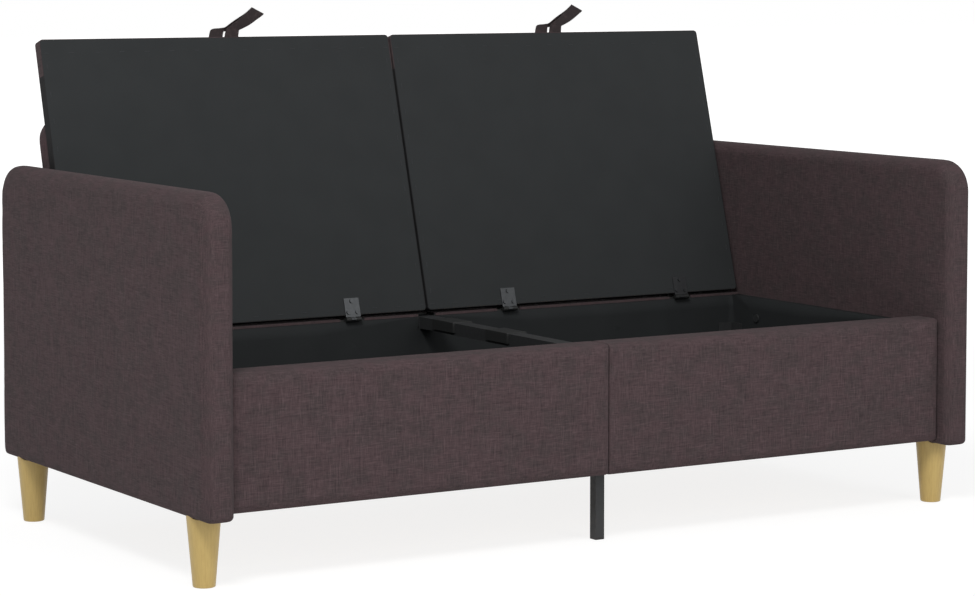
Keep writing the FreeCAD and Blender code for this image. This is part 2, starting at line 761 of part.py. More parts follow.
WELL_X = ("-well_side", "well_side")
sub_part(cut("floor_cleats", group(
    "cleat_blanks",
    box("front_cleat", WELL_X, ("rail_back", "rail_back + cleat_width"),
        ("rail_bottom", "floor_low")),
    box("rear_cleat", WELL_X, ("rear_board_front - cleat_width", "rear_board_front"),
        ("rail_bottom", "floor_low")),
), FRAME_SCREWS), "floor_cleats")
sub_part(group("front_bearers", *[
    box("front_bearer_" + side[0], across(side, "hanger_flange", "well_side"),
        ("rail_back", "rail_back + bearer_size"), ("bearer_top - bearer_size", "bearer_top"))
    for side in SIDES
]), "front_bearers")


def storage_lining():
    """Line the box with one open bag whose sides turn over the side panels."""
    bag = box("bag_outside", WELL_X, ("rail_back", "rear_board_front"), ("floor_high", "side_top"))
    flanges = [
        box("bag_flange_" + side[0], across(side, "well_side - lining", "half_seat"),
            ("rail_back", "rear_front"), ("side_top", "side_top + lining"))
        for side in SIDES
    ]
    hollow = box("bag_inside", ("-well_side + lining", "well_side - lining"),
                 ("rail_back + lining", "rear_board_front - lining"),
                 ("floor_high + lining", "bearer_top"))
    below_bearers = box("bag_front_trim", ("-well_side + lining", "well_side - lining"),
                        ("rail_back", "rail_back + lining"),
                        ("bearer_top - bearer_size", "bearer_top"))
    side_trims = [
        box("bag_bearer_trim_" + side[0], across(side, "well_side - lining", "well_side"),
            ("rail_back", "rail_back + bearer_size"), ("bearer_top - bearer_size", "bearer_top"))
        for side in SIDES
    ]
    beam_slot = box("bag_beam_slot", ("-hanger_half", "hanger_half"),
                    ("rail_back", "rear_board_front"), ("hanger_bottom", "bearer_top"))
    return cut("storage_lining", fuse("bag_blank", bag, *flanges), hollow, below_bearers,
               beam_slot, FRAME_SCREWS, FRAME_BOLTS, *side_trims)


sub_part(storage_lining(), "storage_lining")


def corner_bracket(side, end, name):
    """Fold one steel angle that joins a rail to a side panel."""
    height = ("corner_bottom", "corner_top")
    if end == "front":
        face = ("rail_back + lining", "rail_back + lining + corner_wall")
        depth = ("rail_back + lining", "rail_back + lining + corner_leg")
    else:
        face = ("rear_board_front - lining - corner_wall", "rear_board_front - lining")
        depth = ("rear_board_front - lining - corner_leg", "rear_board_front - lining")
    edge = "well_side - lining"
    return fuse("corner_" + name,
                box("corner_rail_leg_" + name, across(side, edge + " - corner_leg", edge),
                    face, height),
                box("corner_panel_leg_" + name, across(side, edge + " - corner_wall", edge),
                    depth, height))


sub_part(cut("corner_brackets", group("corner_blanks", *[corner_bracket(*c) for c in CORNERS]),
             FRAME_SCREWS), "corner_brackets")


# Centre beam, its hangers and its saddle pads

BEAM_X = ("-beam_width / 2", "beam_width / 2")
BEAM_Y = ("beam_front_end", "beam_rear_end")
sub_part(cut("centre_beam", box("beam_outside", BEAM_X, BEAM_Y, ("beam_bottom", "beam_top")),
             box("beam_inside", ("-beam_width / 2 + beam_wall", "beam_width / 2 - beam_wall"),
                 BEAM_Y, ("beam_bottom + beam_wall", "beam_top - beam_wall"))), "centre_beam")


def hanger(name, cradle_y, hollow_y, *flanges):
    """Fold one steel stirrup that carries an end of the beam."""
    cradle = box(name + "_cradle", ("-hanger_half", "hanger_half"), cradle_y,
                 ("hanger_bottom", "beam_top"))
    hollow = box(name + "_hollow", ("-hanger_half + hanger_wall", "hanger_half - hanger_wall"),
                 hollow_y, ("beam_bottom", "beam_top"))
    blank = fuse(name + "_blank", cradle, *flanges) if flanges else cradle
    return cut(name, blank, hollow)


FLANGE = box("hanger_plate", ("-hanger_flange", "hanger_flange"),
             ("rail_back", "rail_back + hanger_wall"), ("bearer_top - bearer_size", "beam_top"))
sub_part(cut("beam_hangers", group(
    "hanger_blanks",
    hanger("front_hanger", ("rail_back", "rail_back + beam_seat"),
           ("rail_back + hanger_wall", "rail_back + beam_seat"), FLANGE),
    hanger("rear_hanger", ("rear_front", "rear_front + beam_seat"),
           ("rear_front", "rear_front + beam_seat")),
), FRAME_SCREWS), "beam_hangers")


def saddle(name, middle):
    """Mould one pad that sits astride the beam and carries the inner edges of the lids."""
    def upper_edge(edge, centre):
        return middle_of(edge).z > centre.z

    span = ("(%s) - saddle_length / 2" % middle, "(%s) + saddle_length / 2" % middle)
    pad = rounded(name + "_pad", ("-saddle_width / 2", "saddle_width / 2"), span,
                  ("bearer_top - saddle_drop", "bearer_top"), (upper_edge, "saddle_round"))
    channel = box(name + "_channel", BEAM_X, span, ("bearer_top - saddle_drop", "beam_top"))
    sub_part(cut(name, pad, channel), name)


saddle("beam_saddle_rear", "rear_front - rear_saddle_setback")
saddle("beam_saddle_front", "rear_front - rear_saddle_setback - saddle_spacing")


# Centre leg

def square(name, size_formula, z):
    """Make a square bar round the axis of the centre leg."""
    half = "(%s) / 2" % size_formula
    return box(name, ("centre_leg_shift - " + half, "centre_leg_shift + " + half),
               ("centre_leg_y - " + half, "centre_leg_y + " + half), z)


BORE = "centre_leg_size - 2 * centre_leg_wall"
sub_part(cut("centre_leg", fuse(
    "centre_leg_blank",
    square("centre_leg_tube", "centre_leg_size", ("foot_height", "plate_low")),
    square("centre_leg_plate", "leg_plate_size", ("plate_low", "rail_bottom")),
), square("centre_leg_bore", BORE, ("foot_height", "plate_low")), FRAME_SCREWS), "centre_leg")
sub_part(fuse(
    "centre_leg_foot",
    square("foot_pad", "centre_leg_size", ("0", "foot_height")),
    square("foot_stem", BORE, ("0", "foot_height + foot_plug")),
), "centre_leg_foot")


# Hinges, made once round their axis and copied to their places

SHORT_KNUCKLE = "(hinge_width - knuckle_width) / 2 - knuckle_gap"


def rod(name, radius, low, length):
    """Make a cylinder along the hinge axis."""
    piece = bind(DOC.addObject("Part::Cylinder", name), {"Radius": radius, "Height": length})
    piece.Placement = FreeCAD.Placement(FreeCAD.Vector(), FACING_RIGHT)
    return move_to(piece, low, "0", "0")


def leaf(name, knuckles, plate_y, neck_y, bore):
    """Make one hinge leaf: its plate, the necks to its knuckles, and the bore for the pin."""
    half_steel = ("-leaf_thickness / 2", "leaf_thickness / 2")
    pieces = [box(name + "_plate", ("-hinge_width / 2", "hinge_width / 2"), plate_y, half_steel)]
    for number, (low, length) in enumerate(knuckles, start=1):
        pieces.append(rod("%s_knuckle_%d" % (name, number), "knuckle_radius", low, length))
        pieces.append(box("%s_neck_%d" % (name, number), (low, "(%s) + (%s)" % (low, length)),
                          neck_y, half_steel))
    return cut(name, fuse(name + "_blank", *pieces),
               rod(name + "_bore", bore, "-hinge_width", "2 * hinge_width"))


CLEAR_OF_KNUCKLE = "knuckle_radius + 2 * knuckle_gap"
RAIL_LEAF = leaf("rail_leaf",
                 (("-hinge_width / 2", SHORT_KNUCKLE),
                  ("knuckle_width / 2 + knuckle_gap", SHORT_KNUCKLE)),
                 (CLEAR_OF_KNUCKLE, "rail_leaf_length"), ("0", CLEAR_OF_KNUCKLE), "pin_radius")
LID_LEAF = leaf("lid_leaf", (("-knuckle_width / 2", "knuckle_width"),),
                (CLEAR_OF_KNUCKLE, "lid_leaf_length"), ("0", CLEAR_OF_KNUCKLE),
                "pin_radius + pin_play")
PIN = group("hinge_pin", rod("hinge_pin_rod", "pin_radius", "-hinge_width / 2", "hinge_width"))

sub_part(cut("hinge_rail_leaves", group("rail_leaf_blanks", *[
    copy_at(RAIL_LEAF, "rail_leaf_" + name, x, "axis_y", "axis_z") for name, x in ALL_HINGES
]), RAIL_LEAF_SCREWS), "hinge_rail_leaves")
sub_part(group("hinge_pins", *[
    copy_at(PIN, "hinge_pin_" + name, x, "axis_y", "axis_z") for name, x in ALL_HINGES
]), "hinge_pins")


# Seat lids, drawn flat in the lid frame and then leaned back

def lid_screws(side):
    """Place the pan head screws of the lid leaves in the lid frame."""
    spots = (("low_left", "-hinge_width * 0.3", "hinge_setback + 4.5"),
             ("low_right", "hinge_width * 0.3", "hinge_setback + 4.5"),
             ("high", "0", "lid_leaf_length - 5"))
    return group("lid_screws_" + side[0], *[
        copy_at(PAN_SCREW, "lid_screw_%s_%s" % (name, spot), "(%s) + %s" % (x, right), up,
                "leaf_thickness / 2")
        for name, x in HINGES[side[0]]
        for spot, right, up in spots
    ])


def lid_block(name, side, inset, low, high):
    """Make the outline of a lid in the lid frame."""
    def corner(edge, middle):
        return along(edge, Z_AXIS)

    def upper_edge(edge, middle):
        return flat_in(edge, Z_AXIS) and middle_of(edge).z < middle.z

    return rounded(name, across(side, "lid_inner + " + inset, "lid_outer - " + inset),
                   ("hinge_setback + " + inset, "lid_end - " + inset), (low, high),
                   (corner, "lid_corner - " + inset), (upper_edge, "lid_round - " + inset))


def strap_slits(side, middle):
    """Give the two slits in the front band that the legs of the pull strap pass through."""
    return [
        box("strap_slit_%s_%d" % (side[0], number),
            ("(%s) + %d * strap_leg - strap_width / 2" % (middle, way),
             "(%s) + %d * strap_leg + strap_width / 2" % (middle, way)),
            ("lid_end - 2 * lid_skin", "lid_end + lid_skin"),
            ("-strap_depth - strap_thickness / 2", "-strap_depth + strap_thickness / 2"))
        for number, way in enumerate((-1, 1), start=1)
    ]


def lid(side, strap_middle):
    """Make the board, pad, skins, lining and screws of one seat lid."""
    everywhere = across(side, "0", "half_seat")
    outer = lid_block("lid_outer_" + side[0], side, "0", "lid_over", "lid_under")
    inner = lid_block("lid_inner_" + side[0], side, "lid_skin", "lid_over + lid_skin",
                      "lid_under + lid_skin")
    shell = cut("lid_shell_" + side[0], outer, inner)
    screws = lid_screws(side)
    whole_depth = ("0", "lid_end + lid_skin")
    thick = ("lid_over - lid_skin", "lid_under + lid_skin")

    def layer(name, low, high):
        return common(name + side[0], inner, box(name + "zone_" + side[0], everywhere,
                                                 whole_depth, (low, high)))

    def finish(piece, label):
        return sub_part(on_hinge_line(piece), label + side[0])

    front = box("band_zone_" + side[0], everywhere, ("band_start", "lid_end + lid_skin"), thick)
    behind = box("deck_zone_" + side[0], everywhere, ("0", "band_start"), thick)
    finish(cut("seat_cover_" + side[0], common("lid_band_" + side[0], shell, front),
               *strap_slits(side, strap_middle)), "seat_cover_")
    finish(common("seat_deck_" + side[0], shell, behind), "seat_deck_")
    finish(cut("seat_lining_" + side[0], layer("lining_layer_", "board_under", "lid_under"),
               screws), "seat_lining_")
    finish(cut("seat_board_" + side[0], layer("board_layer_", "board_over", "board_under"),
               screws), "seat_board_")
    finish(layer("seat_pad_", "lid_over", "board_over"), "seat_pad_")
    finish(group("hinge_screws_" + side[0], screws), "hinge_screws_")
    leaves = group("lid_leaf_blanks_" + side[0], *[
        copy_at(LID_LEAF, "lid_leaf_" + name, x, "0", "0") for name, x in HINGES[side[0]]
    ])
    finish(cut("hinge_lid_leaves_" + side[0], leaves, screws), "hinge_lid_leaves_")


STRAP_MIDDLES = {
    "left": "-lid_middle + strap_shift_left",
    "right": "lid_middle + strap_shift_right",
}
for side in SIDES:
    lid(side, STRAP_MIDDLES[side[0]])


# Pull straps: one flat strap each, folded into a loop that leans towards the right

def strap_stations():
    """List the strap's middle line, the lean of its width and the turn of its face.

    Each station is X and Y from the middle of the lid's front edge, the depth behind the front
    strand, the width's slope in degrees and the face's turn about the width in degrees.
    """
    leg, gap = size("strap_leg"), size("strap_gap")
    start = -size("lid_skin")
    tip_x, tip_y, tip_slope = 68, 41, -56
    front = [
        (-leg, start, 0, 0, 0),
        (-leg, 7, 0, 0, 0),
        (-leg + 5, 16, 0, -38, 0),
        (8, 24, 0, -64, 0),
        (36, 30, 0, -72, 0),
    ]
    tip = []
    for turn in (0, 45, 90, 135, 180):
        out = gap / 2 * math.sin(math.radians(turn))
        tip.append((
            tip_x + out * math.cos(math.radians(90 + tip_slope)),
            tip_y + out * math.sin(math.radians(90 + tip_slope)),
            gap / 2 * (1 - math.cos(math.radians(turn))),
            tip_slope, -turn,
        ))
    back = [
        (40, 31, gap, -66, -180),
        (leg + 5, 25, gap, -30, -180),
        (leg, 17, gap * 0.85, 0, -205),
        (leg, 9, gap * 0.25, 0, -215),
        (leg, 4, 0, 0, -190),
        (leg, start, 0, 0, -180),
    ]
    return front + tip + back


def strap_section(middle, station):
    """Draw the flat section of the strap at one station, as a closed wire."""
    x, y, depth, slope, turn = station
    centre = FreeCAD.Vector(place_of(middle) + x, place("lid_end") + y, -size("strap_depth") - depth)
    width = FreeCAD.Rotation(Z_AXIS, slope).multVec(X_AXIS)
    face = FreeCAD.Rotation(width, turn).multVec(Z_AXIS)
    half_width = width * (size("strap_width") / 2)
    half_face = face * (size("strap_thickness") / 2)
    corners = [
        centre - half_width - half_face,
        centre + half_width - half_face,
        centre + half_width + half_face,
        centre - half_width + half_face,
    ]
    return Part.makePolygon(corners + corners[:1])


def place_of(side):
    """Read the middle of a pull strap."""
    way = -1 if side is LEFT else 1
    return way * place("lid_middle") + size("strap_shift_" + side[0])


def pull_strap(side):
    """Loft one pull strap through its stations and lean it back with its lid."""
    sections = [strap_section(side, station) for station in strap_stations()]
    strap = DOC.addObject("Part::Feature", "pull_strap_" + side[0])
    strap.Shape = Part.makeLoft(sections, True, True)
    strap.Placement = FreeCAD.Placement(
        FreeCAD.Vector(0, place("axis_y"), place("axis_z")),
        FreeCAD.Rotation(X_AXIS, place("open_angle")))
    sub_part(strap, "pull_strap_" + side[0])


for side in SIDES:
    pull_strap(side)


# Checks, then one file for each sub-part

DOC.recompute()
for piece in DOC.Objects:
    if "Invalid" in piece.State or "Error" in piece.State:
        raise RuntimeError("%s failed: %s" % (piece.Name, piece.State))

for piece in SUB_PARTS:
    if piece.Shape.isNull() or not piece.Shape.isValid() or not piece.Shape.Solids:
        raise RuntimeError("%s has no sound shape" % piece.Label)

os.makedirs("parts", exist_ok=True)
for piece in SUB_PARTS:
    piece.Shape.exportStep("parts/%s.step" % piece.Label)
    volume = sum(solid.Volume for solid in piece.Shape.Solids) / 1000
    print("%-24s %2d solids %10.2f cm3" % (piece.Label, len(piece.Shape.Solids), volume))
print("%d sub-parts" % len(SUB_PARTS))
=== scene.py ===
"""Looks of a storage sofa with two lift-up seat lids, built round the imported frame.

Everything is in metres and in the frame's own axes: X across the sofa, Y from front to back, Z up.
"""

import json
import logging
import math
from collections.abc import Callable, Iterable
from dataclasses import dataclass, field
from enum import Enum

import bmesh
import bpy
from mathutils import Matrix, Vector, noise


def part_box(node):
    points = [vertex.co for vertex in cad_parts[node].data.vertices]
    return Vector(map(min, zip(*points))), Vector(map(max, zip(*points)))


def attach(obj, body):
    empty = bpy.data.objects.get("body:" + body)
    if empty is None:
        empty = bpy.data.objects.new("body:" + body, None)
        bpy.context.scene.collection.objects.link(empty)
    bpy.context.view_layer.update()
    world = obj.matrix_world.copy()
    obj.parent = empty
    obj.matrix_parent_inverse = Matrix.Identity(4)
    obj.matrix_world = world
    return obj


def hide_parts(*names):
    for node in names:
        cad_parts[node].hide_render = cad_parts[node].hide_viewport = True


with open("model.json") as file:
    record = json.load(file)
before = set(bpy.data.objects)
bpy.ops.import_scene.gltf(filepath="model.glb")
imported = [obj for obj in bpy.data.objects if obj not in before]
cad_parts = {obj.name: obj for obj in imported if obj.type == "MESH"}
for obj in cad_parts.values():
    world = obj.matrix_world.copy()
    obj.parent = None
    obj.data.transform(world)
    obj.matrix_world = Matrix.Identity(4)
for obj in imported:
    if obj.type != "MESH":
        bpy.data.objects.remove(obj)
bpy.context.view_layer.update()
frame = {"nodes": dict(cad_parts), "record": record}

LOG = logging.getLogger("sofa")
MM = 0.001
HINGE_LINE = Vector((0.0, 199.5, 304.1)) * MM
OPEN_TURN = math.radians(74.3)
WHITE = (1.0, 1.0, 1.0, 1.0)
LID_FRAME = Matrix.Translation(HINGE_LINE) @ Matrix.Rotation(OPEN_TURN, 4, "X")

Piece = bpy.types.Object
Material = bpy.types.Material
Socket = bpy.types.NodeSocket
Test = Callable[[Vector, Vector], bool]


class Side(Enum):
    """The two sides of the sofa, as a person facing it sees them."""

    LEFT = "left"
    RIGHT = "right"


class Body(Enum):
    """The bodies that pieces ride on."""

    BASE = "root"
    LEFT_LID = "seat_left"
    RIGHT_LID = "seat_right"

    @staticmethod
    def lid(side: Side) -> "Body":
        """Give the lid body of a side."""
        return Body.LEFT_LID if side is Side.LEFT else Body.RIGHT_LID


def linear(red: int, green: int, blue: int) -> tuple[float, float, float, float]:
    """Turn a screen colour from 0 to 255 into linear light.

    Args:
        red: Red from 0 to 255.
        green: Green from 0 to 255.
        blue: Blue from 0 to 255.

    Returns:
        The linear colour with full opacity.
    """
    def channel(value: int) -> float:
        share = value / 255
        return share / 12.92 if share <= 0.04045 else ((share + 0.055) / 1.055) ** 2.4

    return (channel(red), channel(green), channel(blue), 1.0)


# Shader maths


class Shade:
    """A number that varies over a surface, used in Python expressions."""

    def __init__(self, wiring: "Wiring", socket: Socket) -> None:
        """Wrap one output socket of a wiring."""
        self.wiring = wiring
        self.socket = socket

    def __add__(self, other: "Shade | float") -> "Shade":
        """Add."""
        return self.wiring.math("ADD", self, other)

    __radd__ = __add__

    def __sub__(self, other: "Shade | float") -> "Shade":
        """Subtract."""
        return self.wiring.math("SUBTRACT", self, other)

    def __rsub__(self, other: float) -> "Shade":
        """Subtract from a number."""
        return self.wiring.math("SUBTRACT", other, self)

    def __mul__(self, other: "Shade | float") -> "Shade":
        """Multiply."""
        return self.wiring.math("MULTIPLY", self, other)

    __rmul__ = __mul__

    def __abs__(self) -> "Shade":
        """Drop the sign."""
        return self.wiring.math("ABSOLUTE", self)

    def ramp(self, low: float, high: float) -> "Shade":
        """Rise smoothly from 0 at low to 1 at high."""
        node = self.wiring.node(
            "ShaderNodeMapRange", {"interpolation_type": "SMOOTHSTEP", "clamp": True},
            {"Value": self, "From Min": low, "From Max": high})
        return Shade(self.wiring, node.outputs[0])


class Wiring:
    """The nodes of one material."""

    def __init__(self, name: str) -> None:
        """Start an empty material with a principled shader."""
        self.material = bpy.data.materials.new(name)
        self.material.use_nodes = True
        self.tree = self.material.node_tree
        self.tree.nodes.clear()
        self.out = self.tree.nodes.new("ShaderNodeOutputMaterial")
        self.shader = self.node("ShaderNodeBsdfPrincipled", {}, {})
        self.tree.links.new(self.shader.outputs[0], self.out.inputs[0])

    def node(self, kind: str, settings: dict, sockets: dict) -> bpy.types.Node:
        """Add one node.

        Args:
            kind: Blender's type name of the node.
            settings: Properties of the node, set before its sockets.
            sockets: Values or links by socket name or number.

        Returns:
            The new node.
        """
        node = self.tree.nodes.new(kind)
        for name, value in settings.items():
            setattr(node, name, value)
        for name, value in sockets.items():
            self.feed(node, name, value)
        return node

    def feed(self, node: bpy.types.Node, name: "str | int", value: object) -> None:
        """Link a shade or a socket to an input, or set its value."""
        socket = node.inputs[name]
        if isinstance(value, Shade):
            value = value.socket
        if isinstance(value, Socket):
            self.tree.links.new(value, socket)
        else:
            socket.default_value = value

    def math(self, operation: str, *values: "Shade | float") -> Shade:
        """Add one Math node."""
        node = self.node("ShaderNodeMath", {"operation": operation}, dict(enumerate(values)))
        return Shade(self, node.outputs[0])

    def place(self, turn: float = 0.0) -> Socket:
        """Give the object coordinates, turned back about X by an angle."""
        coordinates = self.node("ShaderNodeTexCoord", {}, {}).outputs["Object"]
        return self._turned(coordinates, turn, "POINT")

    def facing(self, turn: float = 0.0) -> tuple[Shade, Shade, Shade]:
        """Give the three parts of the surface's own normal, turned back about X by an angle."""
        normal = self.node("ShaderNodeTexCoord", {}, {}).outputs["Normal"]
        parts = self.node("ShaderNodeSeparateXYZ", {},
                          {0: self._turned(normal, turn, "VECTOR")}).outputs
        return tuple(Shade(self, parts[index]) for index in range(3))

    def _turned(self, vector: Socket, turn: float, kind: str) -> Socket:
        """Turn a vector back about X."""
        if not turn:
            return vector
        return self.node("ShaderNodeMapping", {"vector_type": kind},
                         {"Vector": vector, "Rotation": (-turn, 0.0, 0.0)}).outputs[0]

    def parts(self, vector: Socket) -> tuple[Shade, Shade, Shade]:
        """Split a vector into its three numbers."""
        outputs = self.node("ShaderNodeSeparateXYZ", {}, {0: vector}).outputs
        return tuple(Shade(self, outputs[index]) for index in range(3))

    def grain(self, vector: Socket, cell: tuple[float, float, float],
              detail: float = 2.0, roughness: float = 0.5) -> Shade:
        """Add noise whose cells have a size along each axis.

        Args:
            vector: The coordinates.
            cell: Cell size along X, Y and Z in metres.
            detail: Octaves.
            roughness: Share of the finer octaves.

        Returns:
            The noise, about 0.3 to 0.7.
        """
        scaled = self.node("ShaderNodeVectorMath", {"operation": "DIVIDE"}, {0: vector, 1: cell})
        made = self.node("ShaderNodeTexNoise", {}, {
            "Vector": scaled.outputs[0], "Scale": 1.0, "Detail": detail, "Roughness": roughness})
        return Shade(self, made.outputs[0])

    def blend(self, share: "Shade | float", first: object, second: object) -> Socket:
        """Mix two colours."""
        node = self.node("ShaderNodeMix", {"data_type": "RGBA", "clamp_factor": True},
                         {0: share, 6: first, 7: second})
        return node.outputs[2]

    def bump(self, height: Shade, depth: float, strength: float = 1.0) -> None:
        """Raise the surface by a height from 0 to 1 times a depth in metres."""
        node = self.node("ShaderNodeBump", {},
                         {"Height": height, "Distance": depth, "Strength": strength})
        self.feed(self.shader, "Normal", node.outputs[0])

    def finish(self, **constants: float) -> Material:
        """Set constant sockets of the shader and hand over the material."""
        for name, value in constants.items():
            self.shader.inputs[name.replace("_", " ")].default_value = value
        return self.material


# Finishes


@dataclass(frozen=True)
class Linen:
    """Woven upholstery fabric in mixed mauve-brown and grey-brown yarn."""

    name: str = "linen_fabric"
    turn: float = 0.0
    base: tuple = linear(77, 63, 65)
    grey: tuple = linear(71, 61, 62)
    dark: tuple = linear(45, 36, 39)
    light: tuple = linear(104, 85, 88)
    yarn: float = 1.5 * MM
    slub: float = 13 * MM
    coarse: float = 2.1 * MM
    coarse_slub: float = 26 * MM

    def material(self) -> Material:
        """Wire the fabric."""
        w = Wiring(self.name)
        place = w.place(self.turn)
        dark, light, height = 0.0, 0.0, 0.0
        for axis, part in enumerate(w.facing(self.turn)):
            across = 1 - abs(part).ramp(0.35, 0.85)
            fine = self.threads(w, place, axis, self.yarn, self.slub)
            coarse = self.threads(w, place, axis, self.coarse, self.coarse_slub)
            dark += (fine.ramp(0.48, 0.3) * 0.2 + coarse.ramp(0.44, 0.3) * 0.25) * across
            light += (fine.ramp(0.52, 0.7) * 0.18 + coarse.ramp(0.57, 0.72) * 0.2) * across
            height += (fine + coarse) * across
        cloud = w.grain(place, (34 * MM, 34 * MM, 26 * MM), 3.0, 0.6)
        ground = w.blend(cloud.ramp(0.38, 0.64), self.base, self.grey)
        w.feed(w.shader, "Base Color",
               w.blend(light, w.blend(dark, ground, self.dark), self.light))
        w.bump(height * 0.25, 0.7 * MM, 0.5)
        w.feed(w.shader, "Roughness", 0.97 - light * 0.15)
        return w.finish(Sheen_Weight=0.03, Sheen_Roughness=0.5, Specular_IOR_Level=0.16)

    @staticmethod
    def threads(w: Wiring, place: Socket, axis: int, yarn: float,
                slub: float) -> Shade:
        """Draw uneven threads that run along one axis."""
        cell = [yarn] * 3
        cell[axis] = slub
        return w.grain(place, tuple(cell), 1.5, 0.6)


@dataclass(frozen=True)
class NonWoven:
    """Spun non-woven cloth with its small pressed dimples."""

    name: str = "lining_cloth"
    turn: float = 0.0
    base: tuple = linear(51, 53, 54)
    dark: tuple = linear(45, 47, 48)

    def material(self) -> Material:
        """Wire the cloth."""
        w = Wiring(self.name)
        place = w.place(self.turn)
        cell = w.node("ShaderNodeTexVoronoi", {"feature": "F1"},
                      {"Vector": place, "Scale": 1 / (2.2 * MM), "Randomness": 0.35})
        dimple = Shade(w, cell.outputs["Distance"]).ramp(0.12, 0.42)
        fibre = w.grain(place, (0.6 * MM, 4 * MM, 0.6 * MM), 2.0)
        cloud = w.grain(place, (60 * MM, 60 * MM, 60 * MM), 2.0)
        colour = w.blend(cloud.ramp(0.3, 0.75) * 0.3 + fibre * 0.5, self.base, self.dark)
        w.feed(w.shader, "Base Color", colour)
        w.bump(dimple * 0.6 + fibre * 0.4, 0.3 * MM, 0.4)
        w.feed(w.shader, "Roughness", 0.85 + fibre * 0.1)
        return w.finish(Specular_IOR_Level=0.2)


@dataclass(frozen=True)
class Timber:
    """Clear lacquered light wood with grain along one axis."""

    name: str = "leg_wood"
    base: tuple = linear(200, 172, 104)
    grain: tuple = linear(180, 148, 84)
    along: int = 2
    coat: float = 0.25

    def material(self) -> Material:
        """Wire the wood."""
        w = Wiring(self.name)
        place = w.place()
        long_cell = [2.2 * MM] * 3
        long_cell[self.along] = 90 * MM
        fine_cell = [0.5 * MM] * 3
        fine_cell[self.along] = 14 * MM
        figure = w.grain(place, tuple(long_cell), 3.0)
        pores = w.grain(place, tuple(fine_cell), 2.0)
        colour = w.blend(figure.ramp(0.38, 0.7) * 0.4 + pores.ramp(0.55, 0.75) * 0.25,
                         self.base, self.grain)
        w.feed(w.shader, "Base Color", colour)
        w.bump(pores, 0.08 * MM, 0.4)
        w.feed(w.shader, "Roughness", 0.42 + pores * 0.16)
        return w.finish(Coat_Weight=self.coat, Coat_Roughness=0.35)


@dataclass(frozen=True)
class Steel:
    """Bare or coated steel with fine scratches."""

    name: str
    base: tuple
    metallic: float
    roughness: float

    def material(self) -> Material:
        """Wire the steel."""
        w = Wiring(self.name)
        place = w.place()
        brushed = w.grain(place, (0.3 * MM, 6 * MM, 6 * MM), 2.0)
        cloud = w.grain(place, (7 * MM, 7 * MM, 7 * MM), 3.0)
        worn = w.blend(cloud.ramp(0.35, 0.7) * 0.35, self.base,
                       tuple(0.7 * part for part in self.base[:3]) + (1.0,))
        w.feed(w.shader, "Base Color", worn)
        w.feed(w.shader, "Roughness", self.roughness + (brushed - 0.5) * 0.2 + cloud * 0.08)
        w.bump(brushed * 0.5 + cloud * 0.5, 0.05 * MM, 0.4)
        return w.finish(Metallic=self.metallic)


@dataclass(frozen=True)
class Plastic:
    """Moulded plastic with a fine eroded skin."""

    name: str = "dark_plastic"
    base: tuple = linear(33, 32, 32)

    def material(self) -> Material:
        """Wire the plastic."""
        w = Wiring(self.name)
        place = w.place()
        skin = w.grain(place, (0.5 * MM, 0.5 * MM, 0.5 * MM), 2.0)
        w.feed(w.shader, "Base Color", w.blend(skin * 0.4, self.base, linear(26, 26, 26)))
        w.feed(w.shader, "Roughness", 0.45 + skin * 0.2)
        w.bump(skin, 0.06 * MM, 0.6)
        return w.finish()


@dataclass(frozen=True)
class Leather:
    """Dark imitation leather with a pebbled skin and paler rubbed spots."""

    name: str = "strap_leather"
    base: tuple = linear(42, 33, 34)
    rubbed: tuple = linear(74, 60, 61)

    def material(self) -> Material:
        """Wire the leather."""
        w = Wiring(self.name)
        place = w.place()
        pebble = w.node("ShaderNodeTexVoronoi", {"feature": "SMOOTH_F1"},
                        {"Vector": place, "Scale": 1 / (1.1 * MM)})
        skin = Shade(w, pebble.outputs["Distance"])
        rub = w.grain(place, (9 * MM, 9 * MM, 9 * MM), 3.0)
        w.feed(w.shader, "Base Color", w.blend(rub.ramp(0.5, 0.75) * 0.5, self.base, self.rubbed))
        w.feed(w.shader, "Roughness", 0.48 + skin * 0.25)
        w.bump(skin, 0.15 * MM, 0.5)
        return w.finish(Specular_IOR_Level=0.35)


@dataclass(frozen=True)
class Foam:
    """Open cell upholstery foam."""

    name: str = "foam"
    base: tuple = linear(214, 204, 176)

    def material(self) -> Material:
        """Wire the foam."""
        w = Wiring(self.name)
        place = w.place()
        cells = w.grain(place, (1.2 * MM, 1.2 * MM, 1.2 * MM), 2.0)
        w.feed(w.shader, "Base Color", w.blend(cells, self.base, linear(178, 168, 140)))
        w.feed(w.shader, "Roughness", 0.85 + cells * 0.1)
        w.bump(cells, 0.4 * MM, 0.6)
        return w.finish()


# Bench tools


def deselect() -> None:
    """Let go of everything."""
    bpy.ops.object.select_all(action="DESELECT")


def take(piece: Piece) -> Piece:
    """Select one piece and make it active."""
    deselect()
    piece.select_set(True)
    bpy.context.view_layer.objects.active = piece
    return piece


def settle(piece: Piece) -> Piece:
    """Put a piece's place, turn and scale into its mesh."""
    take(piece)
    bpy.ops.object.transform_apply(location=True, rotation=True, scale=True)
    return piece


def block(name: str, low: Vector, high: Vector) -> Piece:
    """Add a box between two corners.

    Args:
        name: Name of the piece.
        low: Lowest corner.
        high: Highest corner.

    Returns:
        The box, with its place in its mesh.
    """
    deselect()
    bpy.ops.mesh.primitive_cube_add(size=1.0, location=(low + high) / 2, scale=high - low)
    piece = bpy.context.active_object
    piece.name = name
    piece.data.name = name
    return settle(piece)


def pick_edges(piece: Piece, test: Test) -> None:
    """Select the edges whose ends pass a test, in edit mode."""
    bpy.ops.mesh.select_mode(type="EDGE")
    bpy.ops.mesh.select_all(action="DESELECT")
    mesh = bmesh.from_edit_mesh(piece.data)
    for edge in mesh.edges:
        edge.select_set(test(edge.verts[0].co, edge.verts[1].co))
    bmesh.update_edit_mesh(piece.data)


